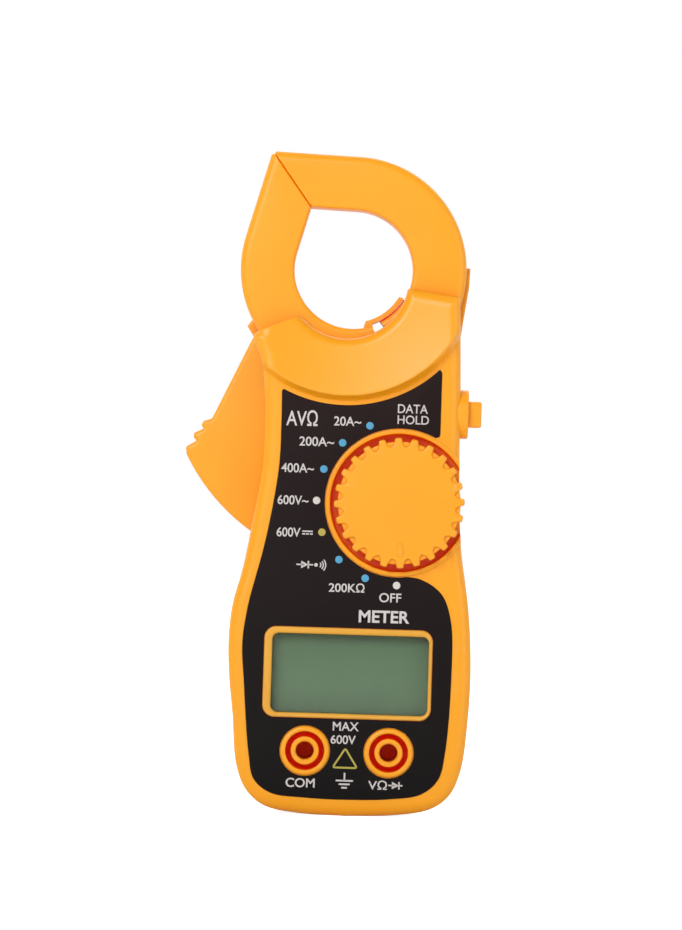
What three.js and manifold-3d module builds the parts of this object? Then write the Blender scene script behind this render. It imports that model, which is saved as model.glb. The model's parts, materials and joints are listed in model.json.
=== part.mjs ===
// Clamp meter: a hand-held meter with one fixed and one swinging jaw, a side trigger, a round range dial,
// a side button, a display, two test sockets and a battery bay under a lift-off cover.
//
// Millimetres. The meter stands upright: +Z runs from the sockets to the jaws, -Y is the face, +X is the
// button side. Heights are written from the bottom edge of the case, and the whole meter is then lowered by
// ORIGIN_Z, so that the origin lies on the flat back, level with the dial's axis.
import * as THREE from "three";
import { mergeVertices } from "three/addons/utils/BufferGeometryUtils.js";
import Module from "manifold-3d";

const wasm = await Module();
wasm.setup();

// ---------------------------------------------------------------- driving dimensions

const ORIGIN_Z = 71.4;
const WALL = 1.8;
const FIT = 0.15; // gap between pieces that touch without moving
const RUN = 0.3; // gap between pieces that move past each other

// Depths, from the back (0) to the front (negative).
const SEAM_Y = -12.2; // where the two halves of the case meet
const FACE_Y = -22.8;
const COLLAR_Y = -24.5;
const RIM_RISE = 0.6; // how far the rims round the openings stand out of the face
const JAW_BACK_Y = -5;
const JAW_FRONT_Y = -19;
const JAW_SEAM_Y = -12;
const BAY_BACK_Y = JAW_BACK_Y + 0.4;
const BAY_FRONT_Y = JAW_FRONT_Y - RUN;
const BOARD_FRONT_Y = -15.4;
const BOARD_BACK_Y = -13.8;
const DIAL_FLOOR_Y = -19.2;
const KNOB_TOP_Y = -27.6;
const BEHIND_Y = 1; // through cuts start behind the meter and end in front of it
const BEFORE_Y = -30;

// Jaws: a ring with a pointed upper left corner, around the conductor window.
const JAW = { x: -1.8, z: 124.15 };
const JAW_EDGE = 1.8;
const WINDOW_RADIUS = 13.5;
const RING_RADIUS = 25.7;
const TOP_NORMAL_DEG = 88;
const LEFT_NORMAL_DEG = 164.2;
const PIVOT = { x: 2.5, z: 102.2 };
const HUB_RADIUS = 4.5;
const PIN_RADIUS = 1.6;
const PIN_BACK_Y = -2.7;
const PIN_FRONT_Y = -21.3;
const OPEN_DEG = 26;
const TRIGGER_RADIUS = 46.3;
// Lip of the swinging jaw and the ledge on the fixed jaw behind it; they close the window's edge.
const LIP = { inner: 12.05, outer: 13.1, from: -69.5, to: -28, back: -7, front: -17 };
const LEDGE = { inner: 13.2, outer: 13.9, from: -62, to: -29, back: -7, front: -14 };
const CORE_INNER = 2.3; // distance of the steel core from the window's edge
const CORE_WIDTH = 4;
const CORE_HALF_DEPTH = 3;
const TIP_CUT = 0.8; // how much of the ring's sharp corner is taken off
// Coil: degrees round the ring, then radii.
const COIL = { from: -38, to: 42, inner: 14.4, outer: 23.9, halfDepth: 5.5 };
// The lower ends of the jaws: upright below, slanted where the gap between them shows in the window.
const SWINGING_END = [[3.6, 60], [3.6, 109.7], [2.63, 111.5], [0.2, 116]];
const FIXED_END = [[3.3, 114], [5.6, 111.25], [5.6, 60]];

// Face
const CASE_EDGE = 2.2;
const COLLAR_EDGE = 2;
const COLLAR = { x: -3, z: 122.1, radius: 13.75 };
const REAR_STEP = 3.2; // how far the back stays behind the front collar round the window
const COLLAR_STEP = { x: -3, z: 124, radius: 29.8 };
const DIAL = { x: 10.15, z: 71.4 };
const KNOB_RADIUS = 14.8;
const KNOB_NOTCH_RADIUS = 12.9;
const KNOB_SKIRT = { radius: 13.9, front: -26.7 };
const KNOB_TEETH = 24;
const KNOB_REST_DEG = 2.5; // play of the pointer past the off mark
const RECESS_RADIUS = 15.6;
const RECESS_RIM_RADIUS = 16.7;
const DETENT_RING = { inner: 13.4, outer: 14.6, back: -16.4 }; // hangs under the dial's floor
const DIAL_SHAFT_RADIUS = 2.9;
const DIAL_FLOOR = 1.2; // thickness
const BEZEL = { left: -19.4, right: 18.75, low: 22.15, high: 42.65, corner: 2.7 };
const DISPLAY = { left: -17.6, right: 17.95, low: 23.2, high: 41.2, corner: 1.6 };
// Sockets: a rim, a groove, a tube and its bore; the brass sleeve ends well behind the face.
const SOCKET = { x: 9.5, z: 14.65, rim: 5.65, groove: 4.42, tube: 3.2, bore: 2, back: -6.5 };
const POST_FRONT_Y = -9;
const SLEEVE = { radius: 2.65, back: -5.9, front: -17.2, flange: 4.2, flangeBack: -5.6, flangeFront: -6.3 };
const LENS_FRONT_Y = -22.5;
const BUTTON = { z: 91.95, y: -17.5, length: 5.9, width: 4.6, tip: 28.25 };
const BUTTON_GUARD = { halfLength: 5.55, halfWidth: 4.4, tip: 25.3, dish: 12 };
const BACK_LABEL = { left: -13, right: 13, low: 78.5, high: 96, corner: 1.5 };

// Inside
const LEAD_CHANNEL = { x0: 11.6, x1: 16.6, y0: -13.8, y1: -9.6, z0: 94, z1: 107 };
const SCREWS = [
  [-19.5, 9],
  [19.5, 9],
  [-20.3, 52],
  [19.2, 100.5],
];
const SCREW_HEAD = { radius: 2.2, crossLength: 1.3, crossWidth: 0.25, crossDepth: 0.5 }; // cross: half sizes
const BOSS = { front: 2.6, back: 3, thread: 1.15, shank: 1.5, counterbore: 2.5, counterboreY: -4.4 };
const CELL_RADIUS = 5.25;
const CELL_Y = -6.9;
const CELL_ROWS = [29, 40.4];
const BAY = { x: 24.7, low: 22.6, high: 46.8, floor: -12.4 };
const COVER_SCREW_Z = 49.8;
const COVER = { right: 23.6, low: 23.4, high: 46.2, tab: 5.4, thick: 1.4 };

// ---------------------------------------------------------------- helpers

const rad = THREE.MathUtils.degToRad;
const point = (x, z) => new THREE.Vector2(x, z);
const onCircle = ({ x, z }, radius, deg) =>
  point(x + radius * Math.cos(rad(deg)), z + radius * Math.sin(rad(deg)));

// A smooth curve through corner points given as [x, z].
function smooth(corners, perSpan = 2) {
  const curve = new THREE.CatmullRomCurve3(
    corners.map(([x, z]) => new THREE.Vector3(x, z, 0)),
  );
  const samples = curve.getPoints(perSpan * (corners.length - 1));
  return samples.map((p) => point(p.x, p.y));
}

// Points of an arc, both ends included.
function arc(centre, radius, fromDeg, toDeg, steps = 16) {
  return Array.from({ length: steps + 1 }, (_, i) =>
    onCircle(centre, radius, fromDeg + ((toDeg - fromDeg) * i) / steps),
  );
}

const flipped = (list) => list.slice().reverse();
const outline = (points) => new THREE.Shape(points);
const disc = (x, z, radius, steps = 24) =>
  outline(arc({ x, z }, radius, 0, 360 - 360 / steps, steps - 1));
const plainBox = (left, low, right, high) =>
  outline([point(left, low), point(right, low), point(right, high), point(left, high)]);

function roundedCorners({ left, right, low, high, corner }, grow = 0) {
  const r = corner + grow;
  const at = (x, z, from) => arc({ x, z }, r, from, from + 90, 4);
  return [
    ...at(right - corner, high - corner, 0),
    ...at(left + corner, high - corner, 90),
    ...at(left + corner, low + corner, 180),
    ...at(right - corner, low + corner, 270),
  ];
}
const roundedBox = (box, grow) => outline(roundedCorners(box, grow));

// The same outline pulled inwards; the points run clockwise or anticlockwise.
function inset(points, distance) {
  const turn = THREE.ShapeUtils.isClockWise(points) ? -1 : 1;
  return points.map((p, i) => {
    const before = points[(i + points.length - 1) % points.length];
    const after = points[(i + 1) % points.length];
    const a = p.clone().sub(before).normalize();
    const b = after.clone().sub(p).normalize();
    const normal = point(-(a.y + b.y), a.x + b.x).normalize();
    const miter = Math.max(0.6, normal.dot(point(-a.y, a.x)));
    return p.clone().addScaledVector(normal, (turn * distance) / miter);
  });
}

// An outline in the face's plane, extruded from the depth back to the depth front.
function slab(shape, back, front) {
  const geometry = new THREE.ExtrudeGeometry(shape, { depth: back - front, bevelEnabled: false });
  return geometry.rotateX(Math.PI / 2).translate(0, back, 0);
}

// The same with rounded edges at the front, and at the back where backRadius is given: a stack of
// inset outlines, each one a step further round the quarter circle.
function rounded(points, back, front, radius, backRadius = 0) {
  const contour = THREE.ShapeUtils.isClockWise(points) ? flipped(points) : points;
  const quarter = (r) => [0, 45, 90].map(rad).map((a) => [r * Math.sin(a), r * (1 - Math.cos(a))]);
  const frontSteps = quarter(radius).map(([rise, pull]) => [front + radius - rise, pull]);
  const backSteps = backRadius
    ? quarter(backRadius).map(([rise, pull]) => [back - backRadius + rise, pull])
    : [[back, 0]];
  const layers = [...flipped(backSteps), ...frontSteps];
  const count = contour.length;
  const positions = layers.flatMap(([y, pull]) => inset(contour, pull).flatMap((p) => [p.x, y, p.y]));
  const cap = THREE.ShapeUtils.triangulateShape(contour, []);
  const last = (layers.length - 1) * count;
  const index = cap.flatMap(([a, b, c]) => [a, c, b, last + a, last + b, last + c]);
  for (let layer = 0; layer + 1 < layers.length; layer++)
    for (let i = 0; i < count; i++) {
      const a = layer * count + i;
      const b = layer * count + ((i + 1) % count);
      index.push(a, b, b + count, a, b + count, a + count);
    }
  const geometry = new THREE.BufferGeometry();
  geometry.setAttribute("position", new THREE.Float32BufferAttribute(positions, 3));
  return geometry.setIndex(index);
}

const tube = (x, z, radius, back, front, steps) => slab(disc(x, z, radius, steps), back, front);
const block = (x0, x1, y0, y1, z0, z1) =>
  new THREE.BoxGeometry(x1 - x0, y1 - y0, z1 - z0).translate((x0 + x1) / 2, (y0 + y1) / 2, (z0 + z1) / 2);

// A round bar along X.
const barX = (x0, x1, y, z, radius, steps = 24) =>
  new THREE.CylinderGeometry(radius, radius, x1 - x0, steps)
    .rotateZ(Math.PI / 2)
    .translate((x0 + x1) / 2, y, z);

// A wire of round section along a curve.
function wire(curve, radius, steps, sides = 6) {
  const section = outline(arc({ x: 0, z: 0 }, radius, 0, 360 - 360 / sides, sides - 1));
  return new THREE.ExtrudeGeometry(section, { extrudePath: curve, steps, bevelEnabled: false });
}

class Helix extends THREE.Curve {
  constructor(radius, length, turns) {
    super();
    Object.assign(this, { radius, length, turns });
  }
  getPoint(t) {
    const angle = 2 * Math.PI * this.turns * t;
    return new THREE.Vector3(
      this.radius * Math.cos(angle),
      this.radius * Math.sin(angle),
      this.length * t,
    );
  }
}

// A geometry as a solid; a solid stays as it is.
function solid(geometry) {
  if (!geometry.isBufferGeometry) return geometry;
  const bare = geometry.index ? geometry.toNonIndexed() : geometry.clone();
  bare.deleteAttribute("normal");
  bare.deleteAttribute("uv");
  const merged = mergeVertices(bare, 1e-4);
  return new wasm.Manifold(
    new wasm.Mesh({
      numProp: 3,
      vertProperties: merged.attributes.position.array,
      triVerts: new Uint32Array(merged.index.array),
    }),
  );
}

const join = (...geometries) => geometries.map(solid).reduce((a, b) => a.add(b));
const cut = (...geometries) => geometries.map(solid).reduce((a, b) => a.subtract(b));
const common = (...geometries) => geometries.map(solid).reduce((a, b) => a.intersect(b));

function geometryOf(body) {
  const { numProp, vertProperties, triVerts } = body.getMesh();
  const positions = [];
  for (let i = 0; i < vertProperties.length; i += numProp)
    positions.push(vertProperties[i], vertProperties[i + 1], vertProperties[i + 2]);
  const geometry = new THREE.BufferGeometry();
  geometry.setAttribute("position", new THREE.Float32BufferAttribute(positions, 3));
  geometry.setIndex([...triVerts]);
  geometry.computeVertexNormals();
  return geometry;
}

const meter = new THREE.Group();
meter.position.z = -ORIGIN_Z;

const FINISH = {
  orange: { color: 0xf59a26, roughness: 0.42, metalness: 0 },
  overlay: { color: 0x241c1c, roughness: 0.5, metalness: 0 },
  lens: { color: 0xb9c6b4, roughness: 0.05, metalness: 0 },
  display: { color: 0x66785f, roughness: 0.3, metalness: 0 },
  white: { color: 0xd9d9d2, roughness: 0.6, metalness: 0 },
  dark: { color: 0x2a2a2c, roughness: 0.7, metalness: 0 },
  board: { color: 0x1f5a3a, roughness: 0.5, metalness: 0 },
  steel: { color: 0x9a9da1, roughness: 0.35, metalness: 1 },
  nickel: { color: 0xc7c4bb, roughness: 0.25, metalness: 1 },
  brass: { color: 0xc8a04c, roughness: 0.3, metalness: 1 },
  copper: { color: 0xb4622d, roughness: 0.35, metalness: 1 },
  paper: { color: 0xd7d6d0, roughness: 0.7, metalness: 0 },
  cell: { color: 0x2d5f8f, roughness: 0.35, metalness: 0 },
  red: { color: 0xb02018, roughness: 0.5, metalness: 0 },
};

function add(name, shape, finish) {
  const geometry = shape.isBufferGeometry ? shape : geometryOf(shape);
  const mesh = new THREE.Mesh(geometry, new THREE.MeshStandardMaterial(FINISH[finish]));
  mesh.name = name;
  meter.add(mesh);
}

// ---------------------------------------------------------------- outlines

const LEFT_SIDE = smooth([
  [-24.2, 108.3],
  [-22.2, 103.3],
  [-21.2, 96],
  [-20.9, 88],
  [-21.2, 78.5],
  [-22.4, 70],
  [-24.8, 55.8],
  [-26.9, 47.5],
  [-27.6, 39.2],
  [-27.2, 30.8],
  [-26.2, 22.5],
  [-25, 11],
  [-22.7, 5.4],
  [-18.6, 1.9],
  [-11, 0.4],
  [0, 0],
]);
const RIGHT_SIDE = smooth([
  [0, 0],
  [11, 0.5],
  [19.4, 2.1],
  [23.6, 5.3],
  [26, 11],
  [27.3, 22.5],
  [27.6, 34],
  [26.7, 47.5],
  [24.5, 62],
  [23.6, 80],
  [23.3, 98],
  [23, 108],
]).slice(1);

// The case's outline below the jaw bay, pulled inwards.
const caseInside = (distance) => inset([...LEFT_SIDE, ...RIGHT_SIDE].filter((p) => p.y < 99), distance);

const collarArc = (growth = 0) => arc(COLLAR, COLLAR.radius + growth, -9, -139.6);
const FRONT_OUTLINE = [
  ...LEFT_SIDE,
  ...RIGHT_SIDE,
  point(22.5, 118.4),
  point(11.9, 120),
  ...collarArc(),
  point(-22.9, 109.5),
];
const REAR_OUTLINE = [
  ...LEFT_SIDE,
  ...RIGHT_SIDE,
  point(23.75, 113.5),
  point(24.85, 121.3),
  point(25, 125.6),
  point(16.5, 126),
  ...arc(COLLAR, COLLAR.radius + REAR_STEP, 4, -139.6),
  point(-24.8, 112.2),
  point(-25.75, 110.8),
];
// The collar is bounded by its own step below and by the case's edge above and beside it.
const COLLAR_OUTLINE = [
  ...arc(COLLAR_STEP, COLLAR_STEP.radius, 214.5, 322),
  point(22.9, 108),
  point(22.5, 118.4),
  point(11.9, 120),
  ...collarArc(),
  point(-22.9, 109.5),
  point(-24.1, 108.2),
];

// A circle with a corner, where its tangents at the top and left normals meet.
function teardrop(radius) {
  const half = (LEFT_NORMAL_DEG - TOP_NORMAL_DEG) / 2;
  const corner = onCircle(JAW, radius / Math.cos(rad(half)), TOP_NORMAL_DEG + half);
  return [...arc(JAW, radius, LEFT_NORMAL_DEG, TOP_NORMAL_DEG + 360, 36), corner];
}

// The jaws part on a line from the ring's centre through its corner; swingingSide and fixedSide hold
// everything to the left and to the right of it.
const SPLIT_DEG = (TOP_NORMAL_DEG + LEFT_NORMAL_DEG) / 2;
const splitFar = onCircle(JAW, 60, SPLIT_DEG);
const splitNear = point(JAW.x, JAW.z);
const splitGap = 0.1;
const swingingSide = outline([
  point(splitFar.x - splitGap, splitFar.y - splitGap),
  point(-80, 160),
  point(-80, 60),
  ...SWINGING_END.map(([x, z]) => point(x, z)),
  point(splitNear.x - splitGap, splitNear.y - splitGap),
]);
const fixedSide = outline([
  splitFar,
  splitNear,
  ...FIXED_END.map(([x, z]) => point(x, z)),
  point(80, 60),
  point(80, 190),
]);

// The small wedge that is missing at the ring's corner.
const ringTip = onCircle(JAW, RING_RADIUS / Math.cos(rad(SPLIT_DEG - TOP_NORMAL_DEG)), SPLIT_DEG);
const TIP_OUTLINE = [
  onCircle({ x: ringTip.x, z: ringTip.y }, TIP_CUT, TOP_NORMAL_DEG - 90),
  onCircle({ x: ringTip.x, z: ringTip.y }, 3, SPLIT_DEG - 45),
  onCircle({ x: ringTip.x, z: ringTip.y }, 3, SPLIT_DEG + 45),
  onCircle({ x: ringTip.x, z: ringTip.y }, TIP_CUT, LEFT_NORMAL_DEG + 90),
  onCircle({ x: ringTip.x, z: ringTip.y }, TIP_CUT, SPLIT_DEG + 180),
];

const TRIGGER_OUTLINE = [
  point(-6, 99.5),
  point(-17, 109),
  point(-24.3, 108.1),
  point(-33.1, 89.3),
  point(-35, 88.6),
  point(-35.5, 87.7),
  point(-34.9, 87),
  point(-37.1, 85.8),
  point(-37.2, 84.9),
  point(-36.4, 84.2),
  point(-38.8, 82.7),
  ...arc(PIVOT, TRIGGER_RADIUS, 206.7, 243, 12),
  onCircle(PIVOT, 38, 245),
  onCircle(PIVOT, 22, 238),
];

const LABEL_OUTLINE = [
  ...smooth([
    [-17.2, 96.1],
    [-17.1, 88],
    [-17.3, 79.3],
    [-18.5, 69.8],
    [-20.2, 60.5],
    [-23.5, 46.5],
    [-24.4, 38.3],
    [-23.8, 30],
    [-22.2, 13.5],
    [-20.9, 7.9],
    [-17.1, 4.9],
    [-9.2, 4],
    [0, 3.8],
    [10, 4.2],
    [17.1, 5.5],
    [20.9, 8.9],
    [22.3, 15],
    [23.2, 32],
    [22.7, 45],
    [20.4, 51],
    [15.6, 54.2],
    [10, 54.8],
  ]),
  point(DIAL.x, DIAL.z),
  point(18, 86.4),
  point(18.8, 86.6),
  point(19, 87.2),
  point(19, 101.2),
  point(18.5, 101.9),
  ...arc({ x: COLLAR_STEP.x, z: COLLAR_STEP.z }, 30.8, -46.6, -116.6, 20),
];

// ---------------------------------------------------------------- case

// The space in which the swinging jaw turns, as the ring's own disc at steps of its travel.
const jawSweep = [0, 0.33, 0.67, 1].map((share) => {
  const turn = rad(share * (OPEN_DEG + 1));
  const dx = JAW.x - PIVOT.x;
  const dz = JAW.z - PIVOT.z;
  return disc(
    PIVOT.x + dx * Math.cos(turn) - dz * Math.sin(turn),
    PIVOT.z + dx * Math.sin(turn) + dz * Math.cos(turn),
    RING_RADIUS + 0.8,
    36,
  );
});
const hubSweep = disc(PIVOT.x, PIVOT.z, HUB_RADIUS + 0.6);
const jawBay = (back, front) => [...jawSweep, hubSweep].map((shape) => slab(shape, back, front));

// A flat oval or rounded box that faces +X, given by its half sizes along Z and Y.
function sideways(shape, x0, x1, y, z) {
  return new THREE.ExtrudeGeometry(shape, { depth: x1 - x0, bevelEnabled: false, curveSegments: 12 })
    .applyMatrix4(new THREE.Matrix4().makeBasis(
      new THREE.Vector3(0, 1, 0),
      new THREE.Vector3(0, 0, 1),
      new THREE.Vector3(1, 0, 0),
    ))
    .translate(x0, y, z);
}
const oval = (halfY, halfZ) =>
  outline(arc({ x: 0, z: 0 }, 1, 0, 348, 29).map((p) => point(p.x * halfY, p.y * halfZ)));
const pad = (halfY, halfZ, corner) =>
  roundedBox({ left: -halfY, right: halfY, low: -halfZ, high: halfZ, corner });

const leadChannel = block(
  LEAD_CHANNEL.x0, LEAD_CHANNEL.x1, LEAD_CHANNEL.y0, LEAD_CHANNEL.y1, LEAD_CHANNEL.z0, LEAD_CHANNEL.z1,
);

function frontHousing() {
  let body = join(
    rounded(FRONT_OUTLINE, SEAM_Y, FACE_Y, CASE_EDGE),
    rounded(COLLAR_OUTLINE, -20, COLLAR_Y, COLLAR_EDGE),
    rounded(roundedCorners(BEZEL), -21.5, FACE_Y - 0.7, 0.35),
    sideways(oval(BUTTON_GUARD.halfWidth, BUTTON_GUARD.halfLength), 20, BUTTON_GUARD.tip, BUTTON.y, BUTTON.z),
  );
  body = cut(
    body,
    slab(outline(caseInside(WALL)), -10, FACE_Y + WALL),
    ...jawBay(-10, BAY_FRONT_Y),
  );

  // Dial cup, with the detent ring under its floor.
  const cup = common(
    join(
      tube(DIAL.x, DIAL.z, RECESS_RIM_RADIUS, DIAL_FLOOR_Y + DIAL_FLOOR, FACE_Y - RIM_RISE + FIT, 40),
      tube(DIAL.x, DIAL.z, DETENT_RING.outer, DETENT_RING.back, DIAL_FLOOR_Y, 32),
    ),
    slab(outline(FRONT_OUTLINE), SEAM_Y, -26),
  );
  body = cut(
    body.add(cup),
    tube(DIAL.x, DIAL.z, RECESS_RADIUS, DIAL_FLOOR_Y, BEFORE_Y, 40),
    tube(DIAL.x, DIAL.z, DETENT_RING.inner, BEHIND_Y, DIAL_FLOOR_Y + DIAL_FLOOR, 32),
    tube(DIAL.x, DIAL.z, DIAL_SHAFT_RADIUS + RUN, BEHIND_Y, BEFORE_Y),
  );

  // Display opening, sockets, button opening.
  body = cut(body, slab(roundedBox(DISPLAY), -15, BEFORE_Y));
  for (const side of [-1, 1])
    body = join(body, tube(side * SOCKET.x, SOCKET.z, SOCKET.rim, SOCKET.back, FACE_Y - RIM_RISE));
  for (const side of [-1, 1]) {
    const groove = cut(
      tube(side * SOCKET.x, SOCKET.z, SOCKET.groove, SOCKET.back - 1.5, BEFORE_Y),
      tube(side * SOCKET.x, SOCKET.z, SOCKET.tube, BEHIND_Y, FACE_Y + 0.2),
    );
    body = cut(
      body,
      groove,
      tube(side * SOCKET.x, SOCKET.z, SLEEVE.radius + FIT, BEHIND_Y, SLEEVE.front - FIT),
      tube(side * SOCKET.x, SOCKET.z, SOCKET.bore + 0.05, BEHIND_Y, BEFORE_Y),
    );
  }
  body = cut(
    body,
    sideways(pad(BUTTON.width / 2 + RUN, BUTTON.length / 2 + RUN, 1), 18, 30, BUTTON.y, BUTTON.z),
    new THREE.SphereGeometry(BUTTON_GUARD.dish, 24, 12)
      .translate(BUTTON_GUARD.tip + BUTTON_GUARD.dish - 1, BUTTON.y, BUTTON.z),
  );

  // Screw bosses, spring seat and the pivot pin's blind hole.
  for (const [x, z] of SCREWS) body = join(body, tube(x, z, BOSS.front, SEAM_Y - 0.2, FACE_Y + 1, 12));
  for (const [x, z] of SCREWS) body = cut(body, tube(x, z, BOSS.thread, BEHIND_Y, FACE_Y + 2.8, 8));
  body = join(body, block(-12, -5.4, FACE_Y + 1, -13.4, 86.9, 88.3));
  body = cut(body, leadChannel);
  return cut(body, tube(PIVOT.x, PIVOT.z, PIN_RADIUS + 0.1, BEHIND_Y, PIN_FRONT_Y - RUN, 24));
}

// The lid is a plain plate with a round tab at its top for the screw.
function coverOutline(growth = 0) {
  const right = COVER.right + growth;
  const top = COVER.high + growth;
  const tab = COVER.tab + growth;
  return [
    point(-right, COVER.low - growth),
    point(right, COVER.low - growth),
    point(right, top),
    point(tab + 1.5, top),
    ...arc({ x: 0, z: COVER_SCREW_Z - 1.6 }, tab, 15, 165, 10),
    point(-tab - 1.5, top),
    point(-right, top),
  ];
}

function rearHousing() {
  const shell = join(
    rounded(REAR_OUTLINE, 0, BAY_BACK_Y, 0.4, 1.2),
    slab(outline([...LEFT_SIDE, ...RIGHT_SIDE, point(22.6, 118.2), point(-22, 108.5)]), -1.2, SEAM_Y + 0.1),
  );
  const slot = arc(PIVOT, TRIGGER_RADIUS + 0.5, 170, 250, 24);
  let body = cut(
    shell,
    slab(outline(caseInside(WALL)), -WALL, -20),
    ...jawBay(BAY_BACK_Y, -20),
    slab(outline([...slot, point(-14, 96)]), BAY_BACK_Y, -20),
    tube(COLLAR.x, COLLAR.z, COLLAR.radius + REAR_STEP - 0.05, BEHIND_Y, -20, 48),
  );

  // Battery box: walls round a rectangular well, open at the back.
  const boxWall = common(
    solid(slab(plainBox(-27, BAY.low - 1.2, 27, BAY.high + 1.2), -0.9, BAY.floor - 1)),
    join(
      slab(outline(caseInside(WALL / 2)), -0.9, SEAM_Y + 0.1),
      slab(outline(caseInside(WALL + RUN)), -0.9, -20),
    ),
  );
  body = cut(
    body.add(boxWall).add(solid(tube(0, COVER_SCREW_Z, 3, -1, -9))),
    block(-BAY.x, BAY.x, BAY.floor, BEHIND_Y, BAY.low, BAY.high),
    slab(outline(coverOutline(RUN)), BEHIND_Y, -COVER.thick - 0.1),
    tube(0, COVER_SCREW_Z, 1.3, BEHIND_Y, -7.5, 16),
    ...CELL_ROWS.map((z) => block(-25.3, -23.7, BAY.floor - 1.1, BAY.floor + 1, z - 1.4, z + 1.4)),
  );
  for (const [x, z] of SCREWS)
    body = join(
      body,
      common(tube(x, z, BOSS.back, -1, SEAM_Y + 0.2, 12), slab(outline(REAR_OUTLINE), 0, -20)),
    );
  for (const [x, z] of SCREWS)
    body = cut(
      body,
      tube(x, z, BOSS.shank, BEHIND_Y, BEFORE_Y, 10),
      tube(x, z, BOSS.counterbore, BEHIND_Y, BOSS.counterboreY, 16),
    );
  body = cut(
    body,
    tube(PIVOT.x, PIVOT.z, PIN_RADIUS + 0.1, PIN_BACK_Y + RUN, BEFORE_Y, 24),
    slab(roundedBox(BACK_LABEL, 0.2), BEHIND_Y, -0.35),
    leadChannel,
    ...[-1, 1].map((side) => tube(side * SOCKET.x, SOCKET.z, SOCKET.rim + 0.25, -5.2, -20)),
  );
  // Posts that reach into the sleeves from behind and stop the plugs.
  const posts = [-1, 1].map((side) => tube(side * SOCKET.x, SOCKET.z, SOCKET.bore - FIT, -1, POST_FRONT_Y));
  return join(body, ...posts);
}

function batteryCover() {
  const plate = join(
    slab(outline(coverOutline()), 0, -COVER.thick),
    ...[-14, 10].map((x) => block(x, x + 4, -3, -1.2, 23.5, 24.5)),
  );
  const grip = [25.4, 27, 28.6].map((z) => block(-6, 6, -0.5, 1, z, z + 0.8));
  return cut(
    plate,
    ...grip,
    tube(0, COVER_SCREW_Z, 1.4, BEHIND_Y, -4, 16),
    tube(0, COVER_SCREW_Z, SCREW_HEAD.radius + 0.2, BEHIND_Y, -0.8, 20),
  );
}

// A cross-head screw pointing into the meter from the back.
function screw(x, z, headY, shank, length, headHeight) {
  const body = join(
    tube(x, z, SCREW_HEAD.radius, headY, headY - headHeight, 16),
    tube(x, z, shank, headY - headHeight / 2, headY - length, 8),
  );
  const { crossLength: a, crossWidth: b, crossDepth } = SCREW_HEAD;
  const low = headY - crossDepth;
  return cut(
    body,
    block(x - a, x + a, low, BEHIND_Y, z - b, z + b),
    block(x - b, x + b, low, BEHIND_Y, z - a, z + a),
  );
}

add("front_housing", frontHousing(), "orange");
add("rear_housing", rearHousing(), "orange");
add("battery_cover", batteryCover(), "orange");
add("battery_cover_screw", screw(0, COVER_SCREW_Z, -0.15, 1.05, 6.8, 0.6), "steel");
SCREWS.forEach(([x, z], i) => add(`case_screw_${i + 1}`, screw(x, z, -2.6, 1, 14.5, 1.5), "steel"));

const faceLabel = cut(
  solid(slab(outline(LABEL_OUTLINE), FACE_Y - 0.02, FACE_Y - 0.22)),
  tube(DIAL.x, DIAL.z, RECESS_RIM_RADIUS + 0.2, BEHIND_Y, BEFORE_Y, 40),
  slab(roundedBox(BEZEL, 0.1), BEHIND_Y, BEFORE_Y),
  ...[-1, 1].map((side) => tube(side * SOCKET.x, SOCKET.z, SOCKET.rim + 0.1, BEHIND_Y, BEFORE_Y)),
);
add("face_label", faceLabel, "overlay");
add("back_label", slab(roundedBox(BACK_LABEL), -0.1, -0.3), "paper");

// ---------------------------------------------------------------- jaws

const ring = () =>
  cut(
    rounded(teardrop(RING_RADIUS), JAW_BACK_Y, JAW_FRONT_Y, JAW_EDGE, JAW_EDGE),
    slab(outline(teardrop(WINDOW_RADIUS)), BEHIND_Y, BEFORE_Y),
    slab(outline(TIP_OUTLINE), BEHIND_Y, BEFORE_Y),
  );
// The steel core follows the window's outline; a growth of FIT makes the pocket that holds it.
const coreRing = (growth) =>
  cut(
    solid(
      slab(
        outline(teardrop(WINDOW_RADIUS + CORE_INNER + CORE_WIDTH + growth)),
        JAW_SEAM_Y + CORE_HALF_DEPTH + growth,
        JAW_SEAM_Y - CORE_HALF_DEPTH - growth,
      ),
    ),
    slab(outline(teardrop(WINDOW_RADIUS + CORE_INNER - growth)), BEHIND_Y, BEFORE_Y),
  );
const fan = (fromDeg, toDeg) =>
  slab(outline([point(JAW.x, JAW.z), ...arc(JAW, 60, fromDeg, toDeg, 16)]), BEHIND_Y, BEFORE_Y);
const corePart = (growth, fromDeg, toDeg) => common(coreRing(growth), fan(fromDeg, toDeg));
const depthRange = (back, front) => block(-90, 60, front, back, 40, 170);
const pivotBore = tube(PIVOT.x, PIVOT.z, PIN_RADIUS + FIT, BEHIND_Y, BEFORE_Y, 24);

// The lip runs from a block at the swinging jaw's lower end to the fixed jaw, along the window.
const LIP_OUTLINE = [
  ...arc(JAW, LIP.outer, LIP.from, LIP.to, 10),
  ...arc(JAW, LIP.inner, LIP.to - 1.5, LIP.from - 5.8, 10),
  point(0.62, 110.1),
  point(0.6, 109),
  point(3.3, 109.8),
];
const LEDGE_OUTLINE = [
  ...arc(JAW, LEDGE.outer, LEDGE.from, LEDGE.to, 10),
  ...arc(JAW, LEDGE.inner, LEDGE.to, LEDGE.from, 10),
];

function swingingJaw(back, front) {
  const half = common(ring(), slab(swingingSide, BEHIND_Y, BEFORE_Y), depthRange(back, front));
  const hub = slab(disc(PIVOT.x, PIVOT.z, HUB_RADIUS), JAW_BACK_Y, JAW_FRONT_Y);
  const lip = slab(outline(LIP_OUTLINE), LIP.back, LIP.front);
  return [hub, lip].reduce((body, piece) => body.add(common(solid(piece), depthRange(back, front))), half);
}

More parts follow.
